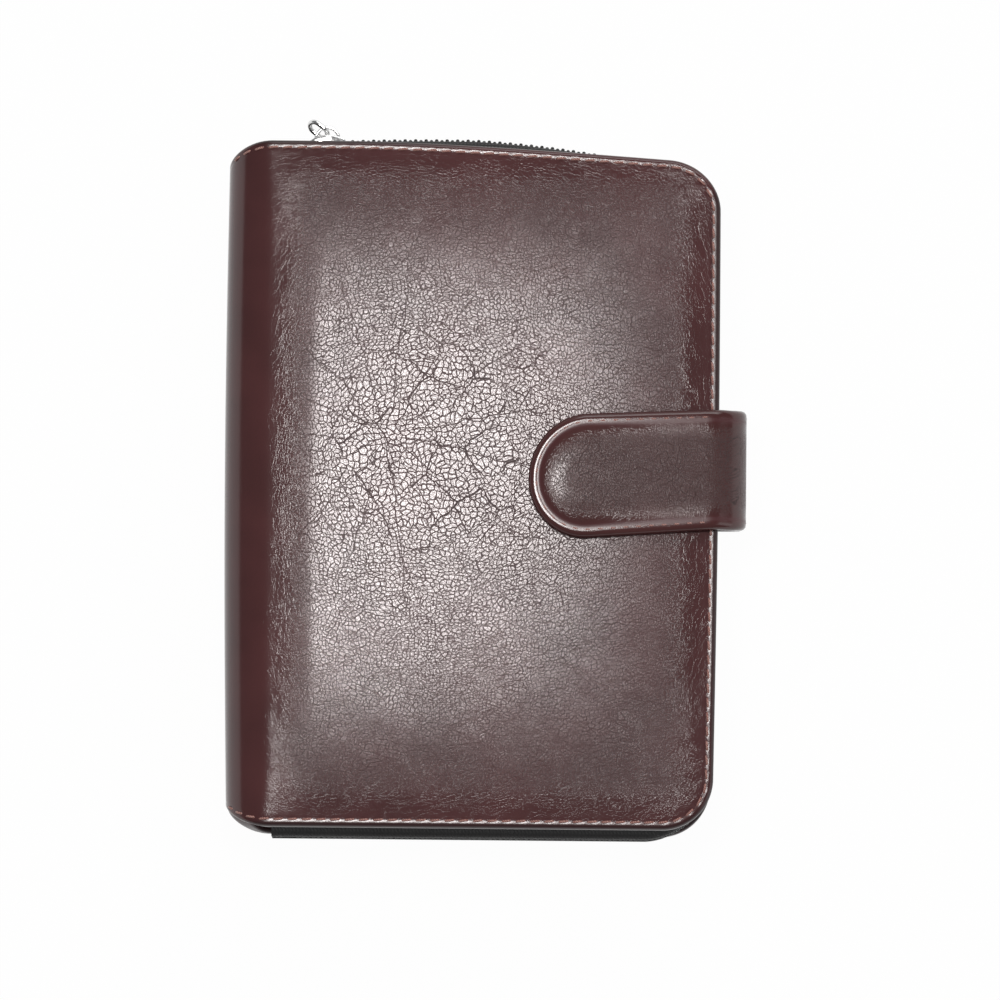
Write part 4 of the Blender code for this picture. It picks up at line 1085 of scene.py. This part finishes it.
def strap_place(x, y, lift=0):
    """A flat place on the strap, with x running from the root to the tip at 0."""
    along, across, inset, depth = edge_place(x, y, 0, half_width, half_width, strap_fold)
    valley = STRAP_VALLEY * bell(inset, VALLEY_INSET, VALLEY_WIDTH)
    pad = share_between(inset, STRAP_PAD_START, STRAP_PAD_START + PAD_RUN)
    fade = max(1 + along / PAD_TAPER, 0) ** 2
    height = STRAP_TOTAL - depth + (STRAP_PAD * pad * (2 - pad) - valley) * fade + lift
    return on_strap(-along, across, height)


strap_rows = spread(-side_reach, side_reach, STRAP_FINE_STEP) + [side_reach]
strap_columns = spread(-STRAP_LENGTH, -half_width, STRAP_STEP)
strap_columns += spread(-half_width, STRAP_REACH, STRAP_FINE_STEP) + [STRAP_REACH]
strap_outer = grid_piece("strap_outer", strap_columns, strap_rows, strap_place)
print("strap faces", len(strap_outer.data.polygons))

# %% Finish the strap
STRAP_GRAIN_START = 3 * MM
STRAP_GRAIN_FULL = 8 * MM
STRAP_GRAIN_LEAST = 0.1
STRAP_GRAIN_GAIN = 1.3
STRAP_VALLEY_SHADE = 0.9
LINING_ROW = 1.5 * MM
LINING_COLUMN = 1.2 * MM
VALLEY_SHADE_WIDTH = 0.9 * MM
lining_half = half_width - TURN_ROUND


def flat_fold(inset):
    return max(inset, 0), 0


def strap_lining_place(x, y):
    along, across, *_ = edge_place(x, y, -TURN_ROUND, lining_half, lining_half, flat_fold)
    return on_strap(-along, across, 0)


def strap_inset(point):
    tip = X_FORE - STRAP_LAP
    lap = min(point.x - X_FORE, 0)
    centre = STRAP_RISE + STRAP_SLANT * lap
    across = abs(point.y - centre) / (1 - STRAP_FLARE * lap / STRAP_LAP)
    if point.z > THICKNESS and point.x < tip + half_width:
        return half_width - math.hypot(across, tip + half_width - point.x)
    return half_width - across


def strap_grain(point):
    share = share_between(strap_inset(point), STRAP_GRAIN_START, STRAP_GRAIN_FULL)
    return STRAP_GRAIN_LEAST + STRAP_GRAIN_GAIN * share


# Painted shade along the strap's stitch valley, where the colour turns darker red and the leather more matt.
def strap_valley_shade(point):
    return STRAP_VALLEY_SHADE * bell(strap_inset(point), VALLEY_INSET, VALLEY_SHADE_WIDTH)


paint(strap_outer, "grain", strap_grain)
paint(strap_outer, "painted_shade", strap_valley_shade)
apply_modifier(strap_outer, "SOLIDIFY", thickness=STRAP_SHEET, offset=-1.0)
smooth(strap_outer)
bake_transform(strap_outer)
dress(strap_outer, strap_leather, "leather", "strap_lap_leather", "strap_side_leather")

lining_rows = spread(-lining_half, lining_half, LINING_ROW) + [lining_half]
lining_columns = spread(-STRAP_LENGTH, -TURN_ROUND, LINING_COLUMN) + [-TURN_ROUND]
strap_inner = grid_piece("strap_inner", lining_columns, lining_rows, strap_lining_place)
turn_faces(strap_inner)
apply_modifier(strap_inner, "SOLIDIFY", thickness=STRAP_LINING, offset=-1.0)
smooth(strap_inner)
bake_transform(strap_inner)
dress(strap_inner, lining_cloth, "lining", "strap_lap_lining", "strap_side_lining")
print("strap lining faces", len(strap_inner.data.polygons))

# %% Sew the strap
STRAP_STITCH_LENGTH = 2.4 * MM
STRAP_STITCH_PITCH = 3.5 * MM
STRAP_SEAM_END = 84 * MM
STRAP_THREAD_LIFT = THREAD * 0.25


def strap_seam():
    radius = half_width - STRAP_STITCH
    path = [Vector((-STRAP_SEAM_END, -radius))]
    path += [place for place, out in arc_points(Vector((-half_width, 0)), radius, -90, 90, 24)]
    path.append(Vector((-STRAP_SEAM_END, radius)))
    return path


def true_strap_place(point, lift):
    across = point.x + half_width
    if across <= 0:
        return strap_place(point.x, point.y, lift)
    side = 1 if point.y >= 0 else -1
    across, up = square_place(across, abs(point.y))
    return strap_place(across - half_width, side * up, lift)


strap_frames = []
for start, end in walk(strap_seam(), STRAP_STITCH_PITCH, STRAP_STITCH_LENGTH):
    middle = (start + end) / 2
    above = true_strap_place(middle, MM) - true_strap_place(middle, 0)
    low, high = (true_strap_place(spot, STRAP_THREAD_LIFT) for spot in (start, end))
    strap_frames.append(seam_frame(low, high, above))
strap_stitches = set_copies("strap_stitches", model_stitch(STRAP_STITCH_LENGTH, THREAD), strap_frames)
smooth(strap_stitches)
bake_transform(strap_stitches)
dress(strap_stitches, seam_thread, "leather")
print("strap stitches", len(strap_frames))

# %% [markdown]
# ## Linings
#
# The lining is one thin cloth glued inside each cover and round half of the spine. It follows the same
# wrapping at the depth of the wall, as the skin does, so that the two stay together.

# %% Linings
LINING_SHEET = 0.6 * MM
LINING_INSET = 2.0 * MM
LINING_STEP = 3 * MM
LINING_RIM_STEP = 1.5 * MM
lining_top = Y_TOP - LINING_INSET
lining_fore = X_FORE - LINING_INSET


def front_lining_place(x, y):
    radius = CORNER_RADIUS - LINING_INSET
    flat_x, flat_y, *_ = edge_place(x, y, lining_fore, lining_top, radius, flat_fold)
    return settled(wrapped(flat_x, flat_y, WALL))


def back_lining_place(x, y):
    return other_side(front_lining_place(x, y))


cloth_rows = spread(-lining_top, -CORNER_Y, LINING_RIM_STEP) + spread(-CORNER_Y, CORNER_Y, LINING_STEP)
cloth_rows += spread(CORNER_Y, lining_top, LINING_RIM_STEP) + [lining_top]
cloth_columns = spread(X_BEND - HALF_SPINE, X_BEND, BEND_STEP) + spread(X_BEND, CORNER_X, LINING_STEP)
cloth_columns += spread(CORNER_X, lining_fore, LINING_RIM_STEP) + [lining_fore]
front_cloth = grid_piece("front_cloth", cloth_columns, cloth_rows, front_lining_place)
turn_faces(front_cloth)
back_cloth = grid_piece("back_cloth", cloth_columns, cloth_rows, back_lining_place)
for cloth, body, side in ((front_cloth, "front_cover", "front"), (back_cloth, "back_cover", "back")):
    apply_modifier(cloth, "SOLIDIFY", thickness=LINING_SHEET, offset=-1.0)
    smooth(cloth)
    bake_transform(cloth)
dress(front_cloth, lining_cloth, "lining", "front_lining", "spine_lining")
dress(back_cloth, lining_cloth, "lining", "back_lining")
print("linings", len(front_cloth.data.polygons), len(back_cloth.data.polygons))

# %% [markdown]
# ## Finer copies of the rigid pieces
#
# Metal and board pieces keep their solid's shape and only need softer edges. Each copy is merged first,
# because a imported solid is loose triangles, its flat faces are joined again, and a bevel rounds its edges.

# %% Copy, merge and bevel
BEVEL_ANGLE = math.radians(35)
FLAT_ANGLE = math.radians(1)
BOARD_EDGE = 0.2 * MM
MERGE = 0.001 * MM


def finer_copy(node, width, segments):
    source = bpy.data.objects[node]
    piece = bpy.data.objects.new(node + "_fine", source.data.copy())
    bpy.context.scene.collection.objects.link(piece)
    pick(piece)
    edit_all()
    bpy.ops.mesh.remove_doubles(threshold=MERGE)
    bpy.ops.mesh.dissolve_limited(angle_limit=FLAT_ANGLE)
    bpy.ops.object.mode_set(mode="OBJECT")
    apply_modifier(piece, "BEVEL", width=width, segments=segments, angle_limit=BEVEL_ANGLE)
    smooth(piece, HARD_ANGLE)
    return piece


def settle_piece(piece):
    for point in piece.data.vertices:
        point.co = settled(point.co)


METAL_PIECES = (
    ("zip_top_stop_front", 0.25 * MM, "front_cover"),
    ("zip_top_stop_back", 0.25 * MM, "back_cover"),
    ("zip_foot_stop_front", 0.25 * MM, "front_cover"),
    ("zip_foot_stop_back", 0.25 * MM, "back_cover"),
    ("ring_shield", 0.2 * MM, "spine"),
    ("ring_rivet_top", 0.12 * MM, "spine"),
    ("ring_rivet_bottom", 0.12 * MM, "spine"),
    ("trigger_top", 0.3 * MM, "trigger_top"),
    ("trigger_bottom", 0.3 * MM, "trigger_bottom"),
    ("snap_stud", 0.3 * MM, "front_cover"),
    ("snap_socket", 0.15 * MM, "strap_lap"),
)
for node, width, body in METAL_PIECES:
    piece = finer_copy(node, width, 2)
    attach(piece, body)
    dress(piece, bright_chrome, "chrome", node)
for node, body in (("front_board", "front_cover"), ("back_board", "back_cover"), ("spine_board", "spine")):
    piece = finer_copy(node, BOARD_EDGE, 1)
    settle_piece(piece)
    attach(piece, body)
    dress(piece, grey_card, "board", node)
print("metal pieces", len(METAL_PIECES))

# %% [markdown]
# ## The zip
#
# The tape is a strip of weave sewn under the cover's rim; it leans outwards and then stands up to carry the
# teeth. Its middle line is lofted along the zip's run and given the cloth's thickness. A tooth is one small
# rounded block. It is modelled once and copied along the chain, in turn for the front and the back.

# %% Zip line
TAPE_INSET = 2.5 * MM
ZIP_SPINE_GAP = 0.6 * MM
LEAN_AT_SPINE = 2.6 * MM
LEAN_PEAK = 5.1 * MM
LEAN_CORNER = 1.5 * MM
LEAN_FORE = 1.0 * MM
LEAN_FOOT = 3.0 * MM
FOOT_BULGE = 1.1 * MM
ZIP_TOP_STEP = 2 * MM
ZIP_FOOT_STEP = 4 * MM
ZIP_CORNER_STEPS = 20
ZIP_START = X_BEND + ZIP_SPINE_GAP
ZIP_CORNER_X = X_FORE - ZIP_CORNER
ZIP_CORNER_Y = Y_TOP - ZIP_CORNER


def top_lean(x):
    if x <= 0:
        return LEAN_AT_SPINE + (LEAN_PEAK - LEAN_AT_SPINE) * (x - ZIP_START) / -ZIP_START
    return LEAN_PEAK - (LEAN_PEAK - LEAN_CORNER) * (x / ZIP_CORNER_X) ** 2


def zip_line():
    """Places along the zip from spine to spine: seam point, outward direction and lean of the chain."""
    seam = Y_TOP - TAPE_INSET
    radius = ZIP_CORNER - TAPE_INSET
    line = []
    for x in spread(ZIP_START, ZIP_CORNER_X, ZIP_TOP_STEP):
        line.append((Vector((x, seam)), Vector((0, 1)), top_lean(x)))
    for side, first, last in ((1, LEAN_CORNER, LEAN_FORE), (-1, LEAN_FORE, LEAN_FOOT)):
        start = 90 if side == 1 else 0
        corner = Vector((ZIP_CORNER_X, side * ZIP_CORNER_Y))
        turn = arc_points(corner, radius, start, start - 90, ZIP_CORNER_STEPS)
        for step, (place, out) in enumerate(turn):
            line.append((place, out, first + (last - first) * step / ZIP_CORNER_STEPS))
    for x in spread(ZIP_CORNER_X, ZIP_START, -ZIP_FOOT_STEP)[1:] + [ZIP_START]:
        line.append((Vector((x, -seam)), Vector((0, -1)), LEAN_FOOT))
    return line


zip_places = zip_line()
print("zip places", len(zip_places))

# %% Zip tapes
TAPE = 0.7 * MM
TAPE_EDGE = Z_MID + 1.9 * MM
TAPE_KINK = TAPE_EDGE + 4.6 * MM
TAPE_TOP = THICKNESS - WALL - CASE_FIT - TAPE / 2
TAPE_HANG = 0.6
TAPE_PROFILE = ((0, -6, 0), (0, -3, 0), (0, -0.6, 0.04), (0.04, 0, 0.14), (0.4, 0, 0.5), (0.8, 0, 0.84),
                (0.97, 0, 0.97), (1, 0, 1.1), (1, 0, 1.4), (1, 0, 1 + TAPE_HANG))


def tape_place(index, step):
    seam, out, lean = zip_places[int(index)]
    share, shift, fall = TAPE_PROFILE[int(step)]
    lean += FOOT_BULGE * max(-out.y, 0) ** 2
    flat = seam + out * (lean * share + shift * MM)
    height = TAPE_TOP + (TAPE_KINK - TAPE_TOP) * min(fall, 1)
    height -= (TAPE_KINK - TAPE_EDGE) * max(fall - 1, 0) / TAPE_HANG
    return settled(Vector((flat.x, flat.y, height)))


def other_tape_place(index, step):
    return other_side(tape_place(index, step))


for side, place, body in (("front", tape_place, "front_cover"), ("back", other_tape_place, "back_cover")):
    tape = grid_piece("zip_tape_%s_cloth" % side, range(len(zip_places)), range(len(TAPE_PROFILE)), place)
    apply_modifier(tape, "SOLIDIFY", thickness=TAPE, offset=0.0)
    smooth(tape)
    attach(tape, body)
    dress(tape, zip_cloth, "tape", "zip_tape_" + side)
    print(side, "tape", len(tape.data.polygons), "faces")

# %% Zip teeth
TOOTH_PITCH = 2.9 * MM
TOOTH_SIZE = (1.0 * MM, 3.1 * MM, 2.9 * MM)
TOOTH_ROUND = 0.4 * MM
TOOTH_RISE = 0.85 * MM
TOOTH_TILT = 0.07
TOOTH_ANGLE = 50


def model_tooth():
    deselect_all()
    bpy.ops.mesh.primitive_cube_add(size=1)
    tooth = bpy.context.object
    tooth.scale = TOOTH_SIZE
    bpy.ops.object.transform_apply(location=False, rotation=False, scale=True)
    apply_modifier(tooth, "BEVEL", width=TOOTH_ROUND, segments=2)
    mesh = tooth.data.copy()
    bpy.data.objects.remove(tooth)
    return mesh


def tooth_row(side, first):
    """Every second place along the chain belongs to one cover, the places between to the other."""
    slider_low, slider_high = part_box("zip_slider_body")
    stop_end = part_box("zip_foot_stop_" + side)[1][0]
    chain = [seam + out * lean for seam, out, lean in zip_places]
    frames = []
    above = Vector((0, -TOOTH_TILT, 1))
    for start, end in walk(chain, TOOTH_PITCH / 2, TOOTH_SIZE[0])[first::2]:
        middle = (start + end) / 2
        if middle.y > 0 and middle.x < (slider_low[0] + slider_high[0]) / 2:
            continue
        if middle.y < 0 and middle.x < stop_end + TOOTH_PITCH:
            continue
        rise = TOOTH_RISE if side == "front" else -TOOTH_RISE
        low, high = (settled(Vector((*spot, Z_MID + rise))) for spot in (start, end))
        frames.append(seam_frame(low, high, above))
    return frames


tooth_mesh = model_tooth()
for side, first in (("front", 0), ("back", 1)):
    row = set_copies("zip_teeth_%s_fine" % side, tooth_mesh, tooth_row(side, first))
    smooth(row, TOOTH_ANGLE)
    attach(row, side + "_cover")
    dress(row, black_teeth, "teeth", "zip_teeth_" + side)
    print(side, "teeth", len(row.data.polygons), "faces")

# %% [markdown]
# ## Zip pull and rings
#
# The slider is cast, so it has no sharp edge: a fine voxel remesh and a little smoothing round a merged copy,
# and its plates are then bowed along the run. The pull is a loop of bright wire, a torus drawn out to its
# length, hanging a little twisted. A half ring is a disc spun about the ring's middle.

# %% Zip slider
SLIDER_VOXEL = 0.22 * MM
SLIDER_BOW = 55.0
SLIDER_EDGE = 0.05 * MM
slider = finer_copy("zip_slider_body", SLIDER_EDGE, 1)
apply_modifier(slider, "REMESH", mode="VOXEL", voxel_size=SLIDER_VOXEL)
apply_modifier(slider, "SMOOTH", factor=0.5, iterations=10)
slider_low, slider_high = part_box("zip_slider_body")
slider_x = (slider_low[0] + slider_high[0]) / 2
for point in slider.data.vertices:
    point.co.y -= SLIDER_BOW * (point.co.x - slider_x) ** 2
smooth(slider)
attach(slider, "zip_slider")
dress(slider, bright_chrome, "chrome", "zip_slider_body")
print("slider faces", len(slider.data.polygons))

# %% Zip pull
PULL_WIRE = 1.35 * MM
PULL_WIDTH = 5.6 * MM
PULL_LENGTH = 7.2 * MM
PULL_SUNK = 1.1 * MM
PULL_SPLIT = 0.1 * MM
PULL_TURN = math.radians(33)
PULL_OUT = math.radians(143)
pull_low, pull_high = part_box("zip_pull")
pull_pivot = Vector((pull_high[0] - PULL_WIRE / 2, pull_low[1] + PULL_WIRE / 2 - PULL_SUNK, Z_MID))
pull_out = Vector((math.cos(PULL_OUT), math.sin(PULL_OUT), 0))
deselect_all()
near_end = (PULL_WIDTH - PULL_WIRE) / 2
bpy.ops.mesh.primitive_torus_add(
    major_segments=48, minor_segments=12, major_radius=near_end, minor_radius=PULL_WIRE / 2
)
pull = bpy.context.object
pull.name = "zip_pull_fine"
upright = Matrix.Rotation(PULL_OUT, 4, "Z") @ Matrix.Rotation(math.pi / 2, 4, "X")
turn = Matrix.Rotation(PULL_TURN, 4, pull_out) @ upright
for point in pull.data.vertices:
    if point.co.x > PULL_SPLIT:
        point.co.x += PULL_LENGTH - PULL_WIDTH
    point.co.x += near_end
    point.co = pull_pivot + turn @ point.co
smooth(pull)
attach(pull, "zip_pull")
dress(pull, bright_chrome, "chrome", "zip_pull")
print("pull faces", len(pull.data.polygons))

# %% Rings
RING_X = -48.5 * MM
RING_RADIUS = 12 * MM
RING_WIRE = 2.6 * MM
RING_ROOT = math.radians(160)
RING_FIRST = 25.5 * MM
RING_PITCH = 19 * MM
RING_PLACES = [side * (RING_FIRST + RING_PITCH * step) for side in (-1, 1) for step in range(3)]
RING_TIP = 0.15 * MM
BLADE_SEAT = 1.0 * MM
BLADE = 0.5 * MM
BLADE_MIDDLE = 3.65 * MM
BLADE_WIDTH = 6.6 * MM
BLADE_ROUND = 0.15 * MM


def half_ring(y, side):
    deselect_all()
    start = (RING_X + RING_RADIUS, y, Z_MID + side * RING_TIP)
    bpy.ops.mesh.primitive_circle_add(vertices=16, radius=RING_WIRE / 2, fill_type="NGON", location=start)
    rod = bpy.context.object
    bpy.ops.object.transform_apply(location=True, rotation=False, scale=False)
    edit_all()
    bpy.ops.mesh.spin(steps=36, angle=side * RING_ROOT, center=(RING_X, y, Z_MID), axis=(0, 1, 0))
    bpy.ops.mesh.select_all(action="SELECT")
    bpy.ops.mesh.remove_doubles(threshold=MERGE)
    bpy.ops.mesh.normals_make_consistent(inside=False)
    bpy.ops.object.mode_set(mode="OBJECT")
    return rod


for side, sign in (("front", 1), ("back", -1)):
    rods = [half_ring(y, sign) for y in RING_PLACES]
    blade_low, blade_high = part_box("ring_half_" + side)
    deselect_all()
    blade_z = Z_MID + sign * BLADE_MIDDLE
    blade_x = blade_low[0] + BLADE_SEAT - BLADE / 2
    bpy.ops.mesh.primitive_cube_add(size=1, location=(blade_x, 0, blade_z))
    blade = bpy.context.object
    blade.scale = (BLADE, blade_high[1] - blade_low[1], BLADE_WIDTH)
    bpy.ops.object.transform_apply(location=True, rotation=False, scale=True)
    apply_modifier(blade, "BEVEL", width=BLADE_ROUND, segments=2)
    deselect_all()
    for piece in (*rods, blade):
        piece.select_set(True)
    bpy.context.view_layer.objects.active = blade
    bpy.ops.object.join()
    blade.name = "ring_half_%s_fine" % side
    smooth(blade, HARD_ANGLE)
    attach(blade, "ring_" + side)
    dress(blade, bright_chrome, "chrome", "ring_half_" + side)
    print(side, "rings", len(blade.data.polygons))

# %% [markdown]
# ## Pages, dividers and pockets
#
# The page blocks keep their solids, whose paper finish draws the sheets. The pockets are thin leather
# sewn to the lining: copies with a turned edge and the same grain.

# %% Pockets and paper
POCKET_EDGE = 0.3 * MM
POCKET_GRAIN = 0.5
for node, body in (
    ("front_pocket", "front_cover"),
    ("card_slot_1", "front_cover"),
    ("card_slot_2", "front_cover"),
    ("card_slot_3", "front_cover"),
    ("memo_pocket", "back_cover"),
):
    piece = finer_copy(node, POCKET_EDGE, 3)
    paint(piece, "grain", lambda point: POCKET_GRAIN)
    paint(piece, "painted_shade", lambda point: 0.0)
    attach(piece, body)
    dress(piece, pocket_leather, "pocket", node)

CARRIED = {
    "front_pages_inner": page_paper,
    "front_pages_outer": page_paper,
    "back_pages_inner": page_paper,
    "back_pages_outer": page_paper,
    "front_tab_divider": divider_card,
    "back_tab_divider": divider_card,
    "memo_pad": page_paper,
    "memo_card": grey_card,
}
for node, finish in CARRIED.items():
    solid = bpy.data.objects[node]
    solid.data.materials.clear()
    solid.data.materials.append(finish)
print("paper pieces", len(CARRIED))

# %% [markdown]
# ## Studio
#
# The photograph has a plain white ground. The floor is a wide bowl of pale card that turns white for the
# camera and for reflections, and still keeps most of the object's own shadow. One soft lamp overhead makes
# the broad gloss on the padded front. Two lamps further away light the top and the fore edge, and a dim sky
# fills the rest.

# %% Floor and backdrop
FLOOR_RADIUS = 7.0
WALL_HEIGHT = 1.2
FLOOR_LEVEL = -0.8 * MM
FLOOR_WHITE = 0.975
deselect_all()
floor_middle = (0, 0, FLOOR_LEVEL)
bpy.ops.mesh.primitive_circle_add(vertices=64, radius=FLOOR_RADIUS, fill_type="NGON", location=floor_middle)
studio_floor = bpy.context.object
studio_floor.name = "studio_floor"
bpy.ops.object.transform_apply(location=True, rotation=False, scale=False)
bpy.ops.object.mode_set(mode="EDIT")
bpy.ops.mesh.select_mode(type="EDGE")
bpy.ops.mesh.select_all(action="SELECT")
bpy.ops.mesh.region_to_loop()
bpy.ops.mesh.extrude_edges_move(TRANSFORM_OT_translate={"value": (0, 0, WALL_HEIGHT)})
bpy.ops.mesh.select_mode(type="VERT")
bpy.ops.object.mode_set(mode="OBJECT")


def floor_finish(name):
    finish, tree, shader = new_finish(name, Roughness=0.9, Specular_IOR_Level=0.2)
    place = object_place(tree)
    mottle = noise(tree, place, 6.0, 2.0)
    connect(tree, shader, Base_Color=colour_between(tree, mottle, (0.80, 0.80, 0.80), (0.84, 0.84, 0.84)))
    paths = add_node(tree, "LightPath", {}).outputs
    seen = larger(tree, paths["Is Camera Ray"], paths["Is Glossy Ray"])
    seen = larger(tree, seen, paths["Is Transmission Ray"])
    white = add_node(tree, "Emission", {"Color": (1, 1, 1, 1), "Strength": 1.0})
    mix = add_node(tree, "MixShader", {"Fac": times(tree, seen, FLOOR_WHITE)})
    tree.links.new(shader.outputs[0], mix.inputs[1])
    tree.links.new(white.outputs[0], mix.inputs[2])
    tree.links.new(mix.outputs[0], tree.nodes["Material Output"].inputs["Surface"])
    return finish


studio_floor.data.materials.append(floor_finish("pale_floor"))
print("floor radius", FLOOR_RADIUS)

# %% Lamps and sky
def softbox(name, place, aim, size, power, shape="RECTANGLE", colour=(1, 1, 1)):
    deselect_all()
    bpy.ops.object.light_add(type="AREA", location=place)
    lamp = bpy.context.object
    lamp.name = name
    lamp.data.shape = shape
    lamp.data.size = size[0]
    lamp.data.size_y = size[1]
    lamp.data.energy = power
    lamp.data.color = colour
    lamp.rotation_euler = (Vector(aim) - Vector(place)).to_track_quat("-Z", "Y").to_euler()
    return lamp


WARM = (1.0, 0.955, 0.94)
SKY_COLOUR = (0.95, 0.97, 1.0, 1)
SKY_STRENGTH = 0.19
softbox("gloss_lamp", (-0.054, 0.077, 0.95), (-0.02, 0, 0.04), (0.29, 0.195), 4.75, "ELLIPSE", WARM)
softbox("top_lamp", (0.5, 1.6, 1.3), (0, 0, 0.02), (1.6, 1.0), 14.0)
softbox("fore_lamp", (1.8, -0.4, 1.1), (0, 0, 0.02), (1.0, 1.6), 6.0)

sky = bpy.data.worlds.new("studio_sky")
sky.use_nodes = True
background = sky.node_tree.nodes["Background"].inputs
background["Color"].default_value = SKY_COLOUR
background["Strength"].default_value = SKY_STRENGTH
bpy.context.scene.world = sky
bpy.context.scene.view_settings.view_transform = "Standard"

# %% [markdown]
# ## Camera
#
# The photograph is taken from almost straight above with a long lens. The lens follows from how many pixels
# a millimetre takes at that distance.

# %% Camera
CAMERA_TILT = math.radians(5.3)
CAMERA_ROLL = math.radians(0.55)
CAMERA_DISTANCE = 2.5
PIXELS_PER_METRE = 3600
IMAGE_PIXELS = 1000
AIM_X = 10.0 * MM
AIM_Y = -2.6 * MM
SENSOR_WIDTH = 36.0
aim = Vector((AIM_X, AIM_Y, Z_MID))
backwards = Vector((0, -math.sin(CAMERA_TILT), math.cos(CAMERA_TILT)))
deselect_all()
bpy.ops.object.camera_add(location=aim + backwards * CAMERA_DISTANCE, rotation=(CAMERA_TILT, 0, CAMERA_ROLL))
camera = bpy.context.object
camera.data.sensor_width = SENSOR_WIDTH
camera.data.lens = PIXELS_PER_METRE * CAMERA_DISTANCE * SENSOR_WIDTH / IMAGE_PIXELS
bpy.context.scene.camera = camera
print("lens", camera.data.lens)
